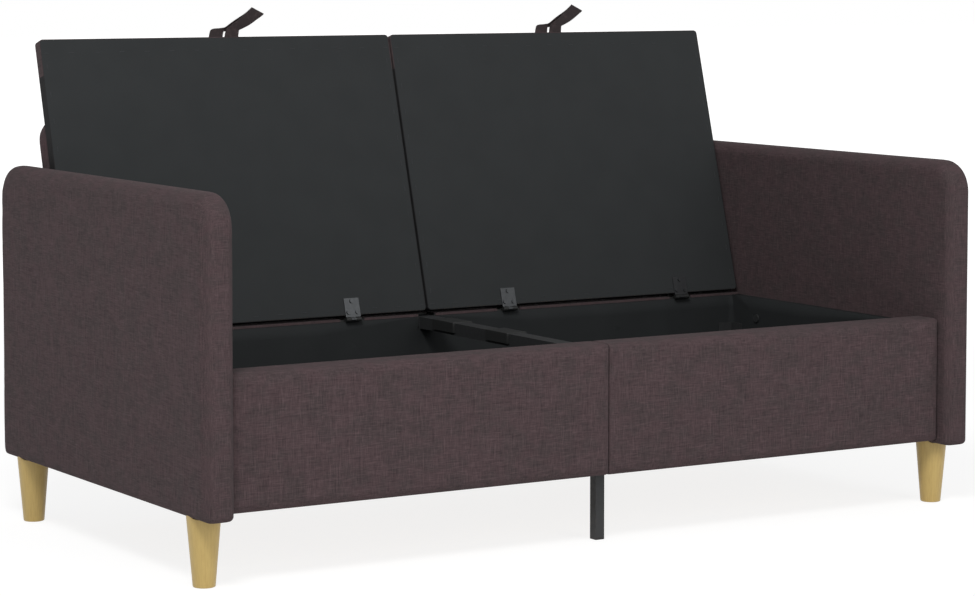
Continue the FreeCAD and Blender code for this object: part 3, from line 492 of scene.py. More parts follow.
def pick_faces(piece: Piece, test: Test) -> None:
    """Select the faces whose middle and normal pass a test, in edit mode."""
    bpy.ops.mesh.select_mode(type="FACE")
    bpy.ops.mesh.select_all(action="DESELECT")
    mesh = bmesh.from_edit_mesh(piece.data)
    for face in mesh.faces:
        face.select_set(test(face.calc_center_median(), face.normal))
    bmesh.update_edit_mesh(piece.data)


def corners(axis: int, up: int, middle: Vector, upper: bool) -> Test:
    """Pick the edges that run along an axis, above or below a middle.

    Args:
        axis: The axis that the edges run along.
        up: The axis that counts as height.
        middle: The middle of the block.
        upper: Whether the upper corners are wanted.

    Returns:
        The test for an edge's two ends.
    """
    def test(a: Vector, b: Vector) -> bool:
        across = [abs(a[number] - b[number]) < MM for number in range(3) if number != axis]
        return all(across) and (a[up] > middle[up]) == upper and abs(a[axis] - b[axis]) > MM

    return test


def soften(piece: Piece, test: Test, radius: float, segments: int) -> None:
    """Round the edges whose ends pass a test."""
    take(piece)
    bpy.ops.object.mode_set(mode="EDIT")
    pick_edges(piece, test)
    bpy.ops.mesh.bevel(offset=radius, segments=segments, affect="EDGES", clamp_overlap=False)
    bpy.ops.object.mode_set(mode="OBJECT")


def soften_by(piece: Piece, share: Callable[[Vector, Vector], float], radius: float,
              segments: int) -> None:
    """Round each edge by a radius times its own share, from 0 to 1."""
    weights = piece.data.attributes.new("bevel_weight_edge", "FLOAT", "EDGE")
    points = piece.data.vertices
    for edge in piece.data.edges:
        first, second = (points[index].co for index in edge.vertices)
        weights.data[edge.index].value = share(first, second)
    modify(piece, "BEVEL", limit_method="WEIGHT", width=radius, segments=segments,
           use_clamp_overlap=False)


def cut_across(piece: Piece, axis: int, places: Iterable[float]) -> None:
    """Cut a piece's faces along planes square to an axis."""
    take(piece)
    bpy.ops.object.mode_set(mode="EDIT")
    normal = [0.0, 0.0, 0.0]
    normal[axis] = 1.0
    for place in places:
        point = [0.0, 0.0, 0.0]
        point[axis] = place
        bpy.ops.mesh.select_all(action="SELECT")
        bpy.ops.mesh.bisect(plane_co=point, plane_no=normal)
    bpy.ops.object.mode_set(mode="OBJECT")


def drop_faces(piece: Piece, test: Test) -> None:
    """Delete the faces whose middle and normal pass a test."""
    take(piece)
    bpy.ops.object.mode_set(mode="EDIT")
    pick_faces(piece, test)
    bpy.ops.mesh.delete(type="FACE")
    bpy.ops.object.mode_set(mode="OBJECT")


def modify(piece: Piece, kind: str, **settings: object) -> None:
    """Add a modifier with settings and apply it."""
    take(piece)
    modifier = piece.modifiers.new(kind.lower(), kind)
    for name, value in settings.items():
        setattr(modifier, name, value)
    bpy.ops.object.modifier_apply(modifier=modifier.name)


def carve(piece: Piece, low: Vector, high: Vector) -> None:
    """Cut a box out of a piece."""
    cutter = block(piece.name + "_cutter", low, high)
    modify(piece, "BOOLEAN", operation="DIFFERENCE", object=cutter, solver="EXACT")
    bpy.data.objects.remove(cutter)


def refine(piece: Piece, steps: tuple[float, float, float]) -> None:
    """Cut a piece's faces into cells no longer than a step along each axis."""
    corners = [vertex.co.copy() for vertex in piece.data.vertices]
    for axis, step in enumerate(steps):
        low = min(corner[axis] for corner in corners)
        high = max(corner[axis] for corner in corners)
        count = int((high - low) / step)
        cut_across(piece, axis, [low + number * (high - low) / (count + 1)
                                 for number in range(1, count + 1)])


def close_up(piece: Piece) -> None:
    """Merge doubled points and turn every face outwards."""
    take(piece)
    bpy.ops.object.mode_set(mode="EDIT")
    bpy.ops.mesh.select_all(action="SELECT")
    bpy.ops.mesh.remove_doubles(threshold=1e-6)
    bpy.ops.mesh.normals_make_consistent(inside=False)
    bpy.ops.object.mode_set(mode="OBJECT")


def smooth(piece: Piece, angle: float = 35.0) -> None:
    """Shade a piece smooth across edges flatter than an angle."""
    take(piece)
    bpy.ops.object.shade_smooth_by_angle(angle=math.radians(angle))


def dress(piece: Piece, material: Material) -> Piece:
    """Put one material on every slot of a piece."""
    if not piece.data.materials:
        piece.data.materials.append(material)
    for index in range(len(piece.data.materials)):
        piece.data.materials[index] = material
    return piece


def hand_over(piece: Piece, finish: Material, body: Body, slot: str,
              *solids: str) -> None:
    """Dress a piece, let it ride on a body and put it in place of its plain solids.

    Args:
        piece: The finished piece.
        finish: Its material.
        body: The body that it moves with.
        slot: Its material slot in the record; not used.
        *solids: The nodes that it replaces.
    """
    dress(piece, finish)
    if solids:
        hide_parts(*solids)
    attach(piece, body.value)
    LOG.info("%s: %d faces", piece.name, len(piece.data.polygons))


def forget(piece: Piece) -> None:
    """Drop what a copy says about the piece it came from."""
    for key in list(piece.keys()):
        del piece[key]


def mirrored(piece: Piece, name: str) -> Piece:
    """Copy a piece to the other side of the sofa, with its own mesh."""
    take(piece)
    bpy.ops.object.duplicate()
    twin = bpy.context.active_object
    twin.name = name
    twin.data.name = name
    forget(twin)
    twin.scale.x = -1
    settle(twin)
    close_up(twin)
    return twin


def on_hinge_line(piece: Piece) -> Piece:
    """Lean a piece back from the flat lid frame."""
    piece.matrix_world = LID_FRAME
    return settle(piece)


def hold_inside(piece: Piece, low: Vector, high: Vector) -> None:
    """Press every point of a piece back between two corners."""
    for vertex in piece.data.vertices:
        for axis in range(3):
            vertex.co[axis] = min(max(vertex.co[axis], low[axis]), high[axis])


@dataclass
class Plumping:
    """How foam swells a taut cover: cloth with air inside, capped at the crown's height."""

    voxel: float = 6 * MM
    pressure: float = 4.0
    crown: float = 2.5 * MM
    frames: int = 20

    def swell(self, piece: Piece, low: Vector, high: Vector) -> None:
        """Remesh a piece, swell it, and press it back where something stands against it.

        Args:
            piece: A closed mesh at its place.
            low: The lowest corner of the room that the piece may fill.
            high: The highest corner of that room.
        """
        take(piece)
        piece.data.remesh_voxel_size = self.voxel
        bpy.ops.object.voxel_remesh()
        self._inflate(piece)
        hold_inside(piece, low, high)
        modify(piece, "SUBSURF", levels=1, render_levels=1)
        take(piece)
        bpy.ops.object.shade_smooth()

    def _inflate(self, piece: Piece) -> None:
        """Run the cloth and keep its capped rise, never less than the padding below it."""
        rest = [vertex.co.copy() for vertex in piece.data.vertices]
        cloth = piece.modifiers.new("cloth", "CLOTH")
        cloth.settings.use_pressure = True
        cloth.settings.uniform_pressure_force = self.pressure
        cloth.settings.tension_stiffness = 25
        cloth.settings.compression_stiffness = 25
        cloth.settings.bending_stiffness = 2.0
        cloth.settings.effector_weights.gravity = 0
        scene = bpy.context.scene
        for number in range(1, self.frames + 1):
            scene.frame_set(number)
        graph = bpy.context.evaluated_depsgraph_get()
        swollen = piece.evaluated_get(graph).to_mesh()
        moved = [vertex.co.copy() for vertex in swollen.vertices]
        piece.evaluated_get(graph).to_mesh_clear()
        piece.modifiers.remove(cloth)
        LOG.info("%s swells by up to %.1f mm", piece.name,
                 max((end - start).length for start, end in zip(rest, moved)) / MM)
        outward = [vertex.normal.copy() for vertex in piece.data.vertices]
        for vertex, start, end, normal in zip(piece.data.vertices, rest, moved, outward):
            rise = (end - start).dot(normal)
            vertex.co = start + normal * min(self.crown, max(0.0, rise))
        scene.frame_set(1)


# Sub-assemblies


@dataclass
class Arm:
    """One slab arm: foam and fabric over a board, with large upper corners."""

    side: Side
    upper: float = 49 * MM
    lower: float = 13 * MM
    edge: float = 20 * MM
    base_edge: float = 8 * MM
    slack: float = 1.6 * MM
    plumping: Plumping = field(default_factory=Plumping)

    def build(self, finish: Material) -> Piece:
        """Model the arm's upholstery.

        Args:
            finish: The cover fabric.

        Returns:
            The upholstery.
        """
        low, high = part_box("arm_cover_" + self.side.value)
        taut = Vector((0.0, self.slack, 0.0))
        piece = block("arm_upholstery_" + self.side.value, low - taut, high + taut)
        middle = (low + high) / 2
        soften(piece, corners(0, 2, middle, True), self.upper, 12)
        soften(piece, corners(0, 2, middle, False), self.lower, 6)
        soften_by(piece, lambda a, b: self.roundness(a, b, low.z), self.edge, 6)
        outer = Vector((self.plumping.crown, 0.8 * MM, 0.8 * MM))
        room_low, room_high = low - outer, high + outer
        room_low.z = low.z
        if self.side is Side.LEFT:
            room_high.x = high.x
        else:
            room_low.x = low.x
        self.plumping.swell(piece, room_low, room_high)
        return self.fit(piece, finish)

    def roundness(self, a: Vector, b: Vector, floor: float) -> float:
        """Give the share of the edge radius for one edge of the slab."""
        if abs(a.x - b.x) > 0.1 * MM or abs(abs((a.x + b.x) / 2) - 676.5 * MM) < 15 * MM:
            return 0.0
        least = self.base_edge / self.edge
        height = ((a.z + b.z) / 2 - floor) / self.lower
        return least + (1 - least) * min(1.0, max(0.0, height))

    def fit(self, piece: Piece, finish: Material) -> Piece:
        """Dress the upholstery and put it in place of the plain solids."""
        name = self.side.value
        hand_over(piece, finish, Body.BASE, "cover_fabric", "arm_cover_" + name, "arm_pad_" + name)
        return piece


@dataclass
class FrontRail:
    """The two upholstered halves of the front rail."""

    edge: float = 8 * MM
    end: float = 2.5 * MM
    plumping: Plumping = field(default_factory=lambda: Plumping(voxel=4 * MM, crown=2 * MM))

    def build(self, finish: Material) -> None:
        """Model the left half and mirror it.

        Args:
            finish: The cover fabric.
        """
        low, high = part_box("rail_cover_left")
        piece = block("rail_upholstery_left", low, high)
        soften_by(piece, lambda a, b: 1.0 if abs(a.x - b.x) > MM else self.end / self.edge,
                  self.edge, 4)
        front = Vector((0.0, self.plumping.crown, 0.0))
        self.plumping.swell(piece, low - front, high)
        twin = mirrored(piece, "rail_upholstery_right")
        for half, name in ((piece, "left"), (twin, "right")):
            hand_over(half, finish, Body.BASE, "cover_fabric", "rail_cover_" + name,
                      "rail_pad_" + name)


@dataclass
class Backrest:
    """The low padded backrest that the open lids lean on."""

    upper: float = 40 * MM
    lower: float = 14 * MM
    edge: float = 11 * MM
    along: tuple[float, float] = (18.1 * MM, 367.9 * MM)
    across: tuple[float, float] = (-53.2 * MM, -23.2 * MM)
    plumping: Plumping = field(default_factory=lambda: Plumping(voxel=7 * MM, crown=1.5 * MM))

    def build(self, finish: Material) -> None:
        """Model the backrest flat in the lid frame and lean it back.

        Args:
            finish: The cover fabric, turned to the lean of the backrest.
        """
        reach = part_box("back_cover")[1].x
        self.measure()
        low = Vector((-reach, self.along[0], self.across[0]))
        high = Vector((reach, self.along[1], self.across[1]))
        piece = block("back_upholstery", low, high)
        middle = (low + high) / 2
        soften(piece, corners(2, 1, middle, True), self.upper, 10)
        soften(piece, corners(2, 1, middle, False), self.lower, 5)
        soften(piece, lambda a, b: abs(a.z - b.z) < 0.1 * MM
               and abs(a.z - middle.z) > 8 * MM, self.edge, 5)
        self.plumping.swell(piece, low, high)
        on_hinge_line(piece)
        hand_over(piece, finish, Body.BASE, "cover_fabric", "back_cover", "back_pad")

    def measure(self) -> None:
        """Read the slab's limits in the lid frame from its solid."""
        back = LID_FRAME.inverted()
        node = frame["nodes"]["back_cover"]
        points = [back @ vertex.co for vertex in node.data.vertices]
        self.along = (min(p.y for p in points), max(p.y for p in points))
        self.across = (min(p.z for p in points), max(p.z for p in points))


@dataclass
class RearRail:
    """The fabric stapled round the rear rail, cut away at the hinges and the beam."""

    thickness: float = 1.1 * MM
    lip: float = 4 * MM
    recess: float = 46 * MM
    hinges: tuple[float, ...] = (-504 * MM, -144 * MM, 163 * MM, 523 * MM)
    recess_depth: tuple[float, float] = (29 * MM, 4.05 * MM)
    notch: float = 17.3 * MM
    notch_depth: tuple[float, float] = (26.3 * MM, 27 * MM)
    round: float = 3 * MM

    def build(self, finish: Material) -> None:
        """Wrap the fabric round the rail.

        Args:
            finish: The cover fabric.
        """
        low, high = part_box("rear_cover")
        piece = block("rear_rail_fabric", low, high)
        soften(piece, lambda a, b: abs(a.x - b.x) > MM and a.y > high.y - MM and b.y > high.y - MM,
               self.round, 4)
        drop_faces(piece, lambda middle, normal: normal.y < -0.9)
        take(piece)
        bpy.ops.object.mode_set(mode="EDIT")
        pick_edges(piece, lambda a, b: min(a.z, b.z) > high.z - 0.1 * MM
                   and max(a.y, b.y) < low.y + 0.1 * MM)
        bpy.ops.mesh.extrude_region_move(TRANSFORM_OT_translate={"value": (0, 0, -self.lip)})
        bpy.ops.object.mode_set(mode="OBJECT")
        modify(piece, "SOLIDIFY", thickness=self.thickness, offset=-1.0)
        close_up(piece)
        cuts = [(x, self.recess / 2, self.recess_depth) for x in self.hinges]
        for x, half, (back, down) in cuts + [(0.0, self.notch, self.notch_depth)]:
            carve(piece, Vector((x - half, low.y - MM, high.z - down)),
                  Vector((x + half, low.y + back, high.z + MM)))
        smooth(piece)
        hand_over(piece, finish, Body.BASE, "cover_fabric", "rear_cover")


@dataclass
class StorageLining:
    """The dark bag lining the box, with slack folds between its fixings, darkened as painted
    shade.
    """

    wave: float = 0.8 * MM
    fold: float = 3.2 * MM
    clear: float = 42 * MM
    cell: tuple[float, float, float] = (13 * MM, 30 * MM, 22 * MM)
    gap: float = 15 * MM
    touch: float = 2 * MM
    bottom: float = 5 * MM

    def build(self, finish: Material) -> None:
        """Shape the bag from a merged copy of its solid.

        Args:
            finish: The lining cloth, darkened as painted shade of the box's inside.
        """
        take(frame["nodes"]["storage_lining"])
        bpy.ops.object.duplicate()
        piece = bpy.context.active_object
        piece.name = "storage_bag"
        piece.data.name = "storage_bag"
        forget(piece)
        piece.parent = None
        close_up(piece)
        refine(piece, self.cell)
        low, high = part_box("storage_lining")
        for vertex in piece.data.vertices:
            vertex.co += self.sag(vertex.co, low, high)
        smooth(piece, 50)
        hand_over(piece, finish, Body.BASE, "lining_cloth", "storage_lining")

    def sag(self, point: Vector, low: Vector, high: Vector) -> Vector:
        """Give how far the cloth stands off the panel behind it.

        Args:
            point: A point of the bag.
            low: The bag's lowest corner.
            high: The bag's highest corner.

        Returns:
            The offset into the box, nothing near a corner or an edge.
        """
        swell = 0.5 + 0.5 * noise.noise(Vector((point.x * 9, point.y * 9, point.z * 5)))
        pleat = max(0.0, noise.noise(Vector((point.x * 24, 7.0, point.z * 1.5)))) * 1.6
        share = math.sin(math.pi * min(1.0, max(0.0, (point.z - low.z) / (high.z - low.z))))
        offset = Vector((0.0, 0.0, 0.0))
        in_x = min(point.x - low.x - self.gap, high.x - self.gap - point.x)
        in_y = min(point.y - low.y, high.y - point.y)
        in_z = point.z - low.z
        if in_x < self.touch and in_y > self.clear and in_z > self.bottom:
            offset.x = -math.copysign(swell * self.wave * share, point.x)
        elif (in_y < self.touch and in_x > self.clear and in_z > self.bottom
              and abs(point.x) > self.clear):
            offset.y = -math.copysign(min(1.0, swell * 0.3 + pleat) * self.fold * share, point.y)
        elif in_z < self.touch and in_x > self.clear and in_y > self.clear:
            offset.z = swell * self.wave
        return offset


@dataclass
class PullStrap:
    """A flat pull strap whose two ends enter the lid side by side and whose loop leans over."""

    side: Side
    width: float = 26 * MM
    thickness: float = 1.9 * MM
    lid_end: float = 487.5 * MM
    steps: int = 5
    stations: tuple = (
        ((-16.5, -2, -13.5), (1, 0, 0)),
        ((-11, 11, -17), (1, -0.05, -0.15)),
        ((-5.5, 16.5, -19.5), (1, -0.1, -0.2)),
        ((13.5, 18.5, -24.5), (0.95, -0.15, -0.3)),
        ((21.5, 19.5, -26), (0.95, -0.2, -0.35)),
        ((39, 29.5, -28), (0.9, -0.25, -0.35)),
        ((62, 41, -28.5), (0.9, -0.35, -0.25)),
        ((73.5, 48.5, -27.5), (0.9, -0.4, -0.2)),
        ((75.5, 50.5, -25), (0.9, -0.4, -0.15)),
        ((70, 47, -21.5), (0.9, -0.4, -0.2)),
        ((45, 30, -18), (0.9, -0.25, -0.3)),
        ((25.5, 19.5, -16.5), (0.95, -0.1, -0.3)),
        ((19, 15, -16), (1, -0.05, -0.2)),
        ((13, -2, -14), (1, 0, 0)),
    )
    middles: dict = field(default_factory=lambda: {Side.LEFT: -308.5 * MM, Side.RIGHT: 334 * MM})

    def build(self, finish: Material) -> None:
        """Bend the strap through its stations.

        Args:
            finish: The strap's leather.
        """
        line = self.line()
        deselect()
        bpy.ops.mesh.primitive_grid_add(x_subdivisions=2, y_subdivisions=len(line) - 1, size=1.0)
        piece = bpy.context.active_object
        piece.name = "pull_loop_" + self.side.value
        piece.data.name = piece.name
        rows = len(line)
        for vertex in piece.data.vertices:
            row = round((vertex.co.y + 0.5) * (rows - 1))
            share = round((vertex.co.x + 0.5) * 2) - 1
            centre, across = line[row]
            vertex.co = centre + across * (share * self.width / 2)
        modify(piece, "SOLIDIFY", thickness=self.thickness, offset=0.0)
        close_up(piece)
        modify(piece, "BEVEL", width=0.5 * MM, segments=2, limit_method="ANGLE",
               angle_limit=math.radians(60))
        modify(piece, "SUBSURF", levels=1, render_levels=1)
        on_hinge_line(piece)
        smooth(piece, 60)
        hand_over(piece, finish, Body.lid(self.side), "strap_leather",
                  "pull_strap_" + self.side.value)
        length = sum((second[0] - first[0]).length for first, second in zip(line, line[1:]))
        "seat_board_" + self.side.value

    def line(self) -> list[tuple[Vector, Vector]]:
        """Give the middle line and the width's direction, smoothly between the stations."""
        middle = Vector((self.middles[self.side], self.lid_end, 0.0))
        places = [Vector(place) * MM for place, _ in self.stations]
        widths = [Vector(width).normalized() for _, width in self.stations]
        line = []
        for index in range(len(places) - 1):
            picks = [max(0, index - 1), index, index + 1, min(len(places) - 1, index + 2)]
            for step in range(self.steps):
                share = step / self.steps
                centre = self.between([places[pick] for pick in picks], share)
                across = widths[index].lerp(widths[index + 1], share).normalized()
                line.append((middle + centre, across))
        line.append((middle + places[-1], widths[-1]))
        return line

    @staticmethod
    def between(points: list[Vector], share: float) -> Vector:
        """Pass a smooth line through the middle two of four points."""
        a, b, c, d = points
        return 0.5 * (2 * b + (c - a) * share + (2 * a - 5 * b + 4 * c - d) * share ** 2
                      + (3 * b - a - 3 * c + d) * share ** 3)


@dataclass
class SeatLid:
    """One lid: fabric band at its front, deck cloth over foam behind, lining below."""

    side: Side
    start: float = 7.5 * MM
    end: float = 487.5 * MM
    band: float = 60 * MM
    under: float = -0.7 * MM
    over: float = -22.7 * MM
    skin: float = 0.9 * MM
    round: float = 5 * MM
    corner: float = 6 * MM
    turn_in: float = 20 * MM
    staple_inset: float = 9 * MM
    bearer_inset: float = 23 * MM
    staple_pitch: float = 46 * MM
    staple_size: tuple[float, float, float] = (9 * MM, 1.1 * MM, 0.35 * MM)
    staple_stray: float = 2 * MM

    def span(self) -> tuple[float, float]:
        """Give the lid's X limits."""
        low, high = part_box("seat_deck_" + self.side.value)
        return low.x, high.x

    def shell(self, name: str, low_y: float, high_y: float, open_end: float) -> Piece:
        """Model one skin over the top, the sides and one end of the lid.

        Args:
            name: Name of the skin.
            low_y: Where it starts along the lid.
            high_y: Where it ends along the lid.
            open_end: The end that stays open, where the other skin begins.

        Returns:
            The closed thin skin in the lid frame.
        """
        left, right = self.span()
        piece = block(name, Vector((left, low_y, self.over)), Vector((right, high_y, self.under)))
        closed = high_y if open_end == low_y else low_y
        soften(piece, lambda a, b: abs(a.z - b.z) > MM and abs(a.y - closed) < MM
               and abs(b.y - closed) < MM, self.corner, 4)
        soften(piece, lambda a, b: max(a.z, b.z) < self.over + 0.1 * MM
               and not (abs(a.y - open_end) < 0.1 * MM and abs(b.y - open_end) < 0.1 * MM),
               self.round, 4)
        drop_faces(piece, lambda middle, normal: normal.z > 0.9
                   or abs(middle.y - open_end) < 0.1 * MM)
        modify(piece, "SOLIDIFY", thickness=self.skin, offset=-1.0)
        close_up(piece)
        return piece

    def build(self, band: Material, deck: Material,
              lining: Material, steel: Material) -> None:
        """Model the three cloths of the lid and the staples of its lining.

        Args:
            band: Fabric of the front band.
            deck: Cloth of the deck.
            lining: Cloth of the underside.
            steel: Wire of the staples.
        """
        name = self.side.value
        seam = self.end - self.band
        front = self.shell("seat_band_" + name, seam, self.end, seam)
        rear = self.shell("seat_deck_cloth_" + name, self.start, seam, seam)
        for piece, finish, node, slot, reach in (
                (front, band, "seat_cover_", "cover_fabric", self.band),
                (rear, deck, "seat_deck_", "deck_cloth", seam - self.start)):
            on_hinge_line(piece)
            smooth(piece, 40)
            hand_over(piece, finish, Body.lid(self.side), slot, node + name)
            reach + self.turn_in
            "seat_board_" + name
        self.line_underside(lining)
        self.staple(steel)

    def line_underside(self, lining: Material) -> None:
        """Model the lining of the underside.

        Args:
            lining: Its cloth.
        """
        name = self.side.value
        left, right = self.span()
        inset = 1.1 * MM
        piece = block("seat_underlining_" + name,
                      Vector((left + inset, self.start + inset, self.under - 0.9 * MM)),
                      Vector((right - inset, self.end - inset, self.under)))
        soften(piece, lambda a, b: abs(a.z - b.z) > 0.5 * MM, 5 * MM, 4)
        on_hinge_line(piece)
        smooth(piece, 40)
        hand_over(piece, lining, Body.lid(self.side), "lining_cloth", "seat_lining_" + name)
        "seat_board_" + name

    def staple(self, steel: Material) -> None:
        """Drive a row of wire staples round the edge of the lining.

        Args:
            steel: The wire's finish.
        """
        name = "lining_staples_" + self.side.value
        left, right = self.span()
        inset, pitch = self.staple_inset, self.staple_pitch
        near, far = self.start + inset, self.end - self.bearer_inset
        across = self.spread(left + inset, right - inset, pitch)
        places = [(x, y, 0) for y in (near, far) for x in across]
        places += [(x, y, 1) for x in (left + inset, right - inset)
                   for y in self.spread(near + pitch / 2, far - pitch / 2, pitch)]
        wires = [self.wire("%s_%d" % (name, number), x, y, turned)
                 for number, (x, y, turned) in enumerate(places)]
        deselect()
        for wire in wires:
            wire.select_set(True)
        bpy.context.view_layer.objects.active = wires[0]
        bpy.ops.object.join()
        piece = bpy.context.active_object
        piece.name = name
        piece.data.name = name
        on_hinge_line(piece)
        smooth(piece, 40)
        hand_over(piece, steel, Body.lid(self.side), "fixing_steel")

    @staticmethod
    def spread(low: float, high: float, pitch: float) -> list[float]:
        """Space places evenly between two ends, about a pitch apart."""
        count = max(1, round((high - low) / pitch))
        return [low + (high - low) * number / count for number in range(count + 1)]

    def wire(self, name: str, x: float, y: float, turned: int) -> Piece:
        """Model the crown of one staple, a little crooked as they are in work."""
        length, width, height = self.staple_size
        half = Vector((length, width, 0)) / 2 if not turned else Vector((width, length, 0)) / 2
        shift = noise.noise(Vector((x * 31, y * 31, 3.0))) * self.staple_stray
        middle = Vector((x, y + shift, self.under))
        piece = block(name, middle - half, middle + half + Vector((0, 0, height)))
        soften(piece, lambda a, b: min(a.z, b.z) > middle.z + 0.1 * MM, 0.15 * MM, 1)
        return piece


@dataclass
class Legs:
    """Four turned, tapered legs whose tops nest under the soft lower edges of the arms."""

    top: float = 25.5 * MM
    foot: float = 16.5 * MM
    height: float = 101 * MM
    place: tuple[float, float] = (674 * MM, 308 * MM)
    foot_round: float = 1.6 * MM
    nest: float = 8 * MM
    faces: tuple[float, float] = (653 * MM, 700 * MM)
    rings: tuple[float, ...] = (1.2 * MM, 2.0 * MM, 3.0 * MM, 5.0 * MM)

    def build(self, finish: Material) -> None:
        """Model one leg and copy it to the other corners.

        Args:
            finish: The wood.
        """
        first = self.turn()
        for end in ("front", "rear"):
            for side in Side:
                take(first)
                bpy.ops.object.duplicate()
                piece = bpy.context.active_object
                piece.name = "turned_leg_%s_%s" % (end, side.value)
                piece.data.name = piece.name
                piece.location = (self.place[0], self.place[1] * (1 if end == "rear" else -1), 0)
                settle(piece)
                if side is Side.LEFT:
                    piece.scale.x = -1
                    settle(piece)
                    close_up(piece)
                smooth(piece, 30)
                hand_over(piece, finish, Body.BASE, "leg_wood", "leg_%s_%s" % (end, side.value))
        bpy.data.objects.remove(first)

    def turn(self) -> Piece:
        """Turn the taper, round its foot and hollow its top to the arm above it.

        Returns:
            The leg, standing at the origin.
        """
        deselect()
        bpy.ops.mesh.primitive_cone_add(vertices=64, radius1=self.foot, radius2=self.top,
                                        depth=self.height, location=(0, 0, self.height / 2))
        piece = settle(bpy.context.active_object)
        soften(piece, lambda a, b: max(a.z, b.z) < MM, self.foot_round, 3)
        bpy.ops.object.mode_set(mode="EDIT")
        pick_faces(piece, lambda middle, normal: normal.z > 0.9)
        for ring in self.rings:
            bpy.ops.mesh.inset(thickness=ring)
        bpy.ops.object.mode_set(mode="OBJECT")
        for vertex in piece.data.vertices:
            if vertex.co.z > self.height - MM:
                vertex.co.z += self.rise(vertex.co.x + self.place[0])
        return piece

    def rise(self, x: float) -> float:
        """Give how far the arm's soft lower edge stands above its underside at X."""
        inner, outer = self.faces
        depth = max(0.6 * MM, min(x - inner, outer - x))
        if depth >= self.nest:
            return 0.0
        return self.nest - math.sqrt(self.nest ** 2 - (self.nest - depth) ** 2)


@dataclass
class Hardware:
    """Finishes of the pieces whose solids are already right."""

    def build(self) -> None:
        """Dress each node by the material slot of the record."""
        zinc = Steel("hinge_steel", linear(92, 94, 96), 1.0, 0.38).material()
        coated = Steel("dark_steel", linear(44, 45, 46), 0.0, 0.55).material()
        finishes = {
            "hinge_steel": zinc,
            "fixing_steel": Steel("fixing_steel", linear(150, 152, 154), 1.0, 0.4).material(),
            "dark_steel": coated,
            "dark_plastic": Plastic().material(),
            "board_wood": Timber("board_wood", linear(196, 168, 128), linear(168, 136, 94), 0,
                                 0.0).material(),
            "foam": Foam().material(),
        }
        for entry in frame["record"]["subparts"]:
            node = frame["nodes"][entry["node"]]
            finish = finishes.get(entry["material_slot"])
            if finish and not node.hide_render:
                dress(node, finish)
        # Painted shade: the rail-side hinge leaves, pins and rail screws get a near-black steel,
        # so the hinge recesses read dark.
        black = Steel("hinge_steel_painted_shade", linear(30, 31, 31), 0.0, 0.6).material()
        for name in ("hinge_rail_leaves", "hinge_pins", "hinge_screws_rail"):
            dress(frame["nodes"][name], black)
        saddle = Plastic("saddle_plastic", linear(38, 39, 39)).material()
        for name in ("beam_saddle_front", "beam_saddle_rear"):
            dress(frame["nodes"][name], saddle)
        # Painted shade: the side panels, bearers and rear board get a near-black board in place of
        # their wood, so the box's inside and the hinge recesses read dark.
        painted_shade_tones = linear(40, 40, 40), linear(33, 33, 33)
        dark_board = Timber("board_painted_shade", *painted_shade_tones, 1, 0.0).material()
        for name in ("side_panel_left", "side_panel_right", "front_bearers", "rear_board"):
            dress(frame["nodes"][name], dark_board)


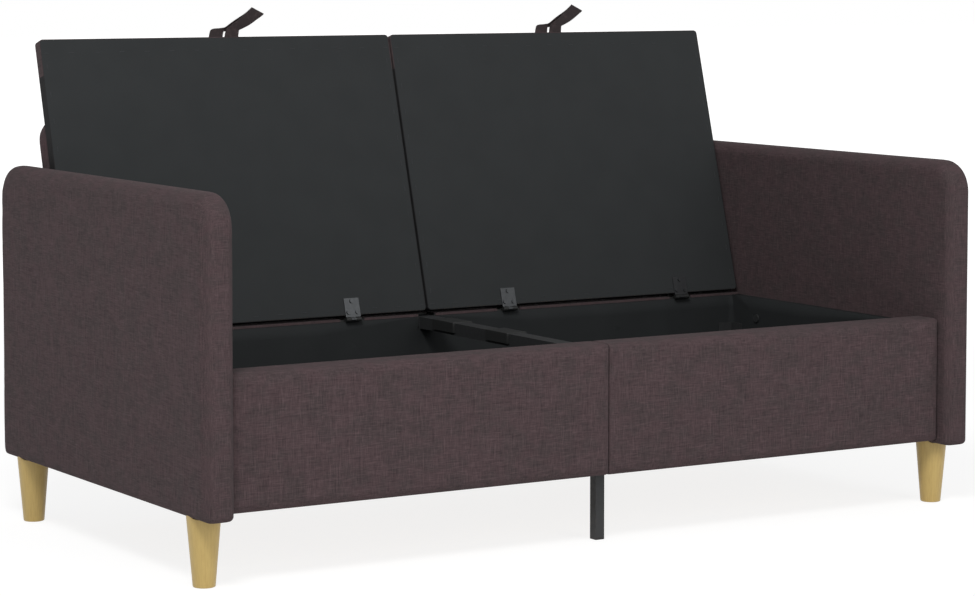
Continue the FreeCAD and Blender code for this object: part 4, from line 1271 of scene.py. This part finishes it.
@dataclass
class Studio:
    """The floor, the lights and the camera."""

    place: tuple[float, float, float] = (-2.6007, -4.2167, 0.8956)
    heading: float = -31.49
    tilt: float = -4.451
    lens: float = 112.66
    shift: tuple[float, float] = (0.0067, -0.1)
    sky: float = 0.42
    key: float = 120.0
    front: float = 45.0
    near_glow: float = 0.7
    floor_light: float = 1.19
    near: float = 1.5
    far: float = 4.0

    def build(self) -> None:
        """Set up the studio."""
        self.floor()
        self.lights()
        self.camera()

    def floor(self) -> None:
        """Lay a plain pale floor that keeps a soft shadow."""
        deselect()
        bpy.ops.mesh.primitive_plane_add(size=60.0, location=(0.0, 0.0, -0.0005))
        piece = settle(bpy.context.active_object)
        piece.name = "studio_floor"
        w = Wiring("studio_floor")
        w.feed(w.shader, "Base Color", (0.86, 0.86, 0.86, 1.0))
        w.feed(w.shader, "Roughness", 1.0)
        w.shader.inputs["Specular IOR Level"].default_value = 0.0
        glow = w.node("ShaderNodeEmission", {}, {"Color": WHITE, "Strength": self.floor_light})
        rays = w.node("ShaderNodeLightPath", {}, {}).outputs
        seen = Shade(w, rays["Is Camera Ray"]) + Shade(w, rays["Is Glossy Ray"])
        x, y, _ = w.parts(w.place())
        glowing = (x * x + y * y).ramp(self.near ** 2, self.far ** 2) * (1 - self.near_glow)
        mix = w.node("ShaderNodeMixShader", {}, {
            0: seen * (glowing + self.near_glow), 1: w.shader.outputs[0], 2: glow.outputs[0]})
        w.tree.links.new(mix.outputs[0], w.out.inputs[0])
        dress(piece, w.material)

    def lights(self) -> None:
        """Hang the soft lamps and set an even sky that the camera sees as white."""
        world = bpy.data.worlds.new("studio")
        bpy.context.scene.world = world
        world.use_nodes = True
        tree = world.node_tree
        sky = tree.nodes["Background"]
        sky.inputs[0].default_value = WHITE
        sky.inputs[1].default_value = self.sky
        white = tree.nodes.new("ShaderNodeBackground")
        white.inputs[0].default_value = WHITE
        rays = tree.nodes.new("ShaderNodeLightPath")
        mix = tree.nodes.new("ShaderNodeMixShader")
        tree.links.new(rays.outputs["Is Camera Ray"], mix.inputs[0])
        tree.links.new(sky.outputs[0], mix.inputs[1])
        tree.links.new(white.outputs[0], mix.inputs[2])
        tree.links.new(mix.outputs[0], tree.nodes["World Output"].inputs[0])
        self.lamp("key_lamp", Vector((-2.3, -2.7, 4.0)), 1.3, self.key)
        self.lamp("front_lamp", Vector((0.9, -4.6, 2.2)), 2.6, self.front)

    @staticmethod
    def lamp(name: str, place: Vector, size: float, watts: float) -> None:
        """Hang one square lamp that faces the middle of the sofa."""
        data = bpy.data.lights.new(name, "AREA")
        data.size = size
        data.energy = watts
        lamp = bpy.data.objects.new(name, data)
        lamp.location = place
        aim = Vector((0.0, 0.0, 0.35)) - place
        lamp.rotation_euler = aim.to_track_quat("-Z", "Y").to_euler()
        bpy.context.scene.collection.objects.link(lamp)

    def camera(self) -> None:
        """Stand the camera where the photograph was taken."""
        data = bpy.data.cameras.new("camera")
        data.sensor_width = 36.0
        data.lens = self.lens
        data.shift_x, data.shift_y = self.shift
        data.clip_end = 100.0
        camera = bpy.data.objects.new("camera", data)
        camera.location = self.place
        camera.rotation_euler = (math.radians(90.0 + self.tilt), 0.0,
                                 math.radians(self.heading))
        bpy.context.scene.collection.objects.link(camera)
        bpy.context.scene.camera = camera
        bpy.context.scene.view_settings.view_transform = "Standard"


def main() -> None:
    """Build the sofa in order, from the studio to the lids."""
    logging.basicConfig(level=logging.INFO, format="%(message)s")
    Studio().build()
    upright = Linen().material()
    leaning = Linen("linen_fabric_leaning", OPEN_TURN).material()
    # The box's lining is the lids' lining cloth set darker, as painted shade of the box's inside.
    lining = NonWoven(base=linear(42, 44, 45), dark=linear(35, 37, 38)).material()
    lining_leaning = NonWoven("lining_cloth_leaning", OPEN_TURN).material()
    deck = NonWoven("deck_cloth", OPEN_TURN, linear(46, 46, 47), linear(38, 38, 39)).material()
    leather = Leather().material()
    staple_wire = Steel("staple_wire", linear(62, 64, 66), 0.6, 0.6).material()
    arm = Arm(Side.LEFT).build(upright)
    Arm(Side.RIGHT).fit(mirrored(arm, "arm_upholstery_right"), upright)
    FrontRail().build(upright)
    Backrest().build(leaning)
    RearRail().build(upright)
    StorageLining().build(lining)
    for side in Side:
        SeatLid(side).build(leaning, deck, lining_leaning, staple_wire)
        PullStrap(side).build(leather)
    Legs().build(Timber().material())
    Hardware().build()


if __name__ == "__main__":
    main()
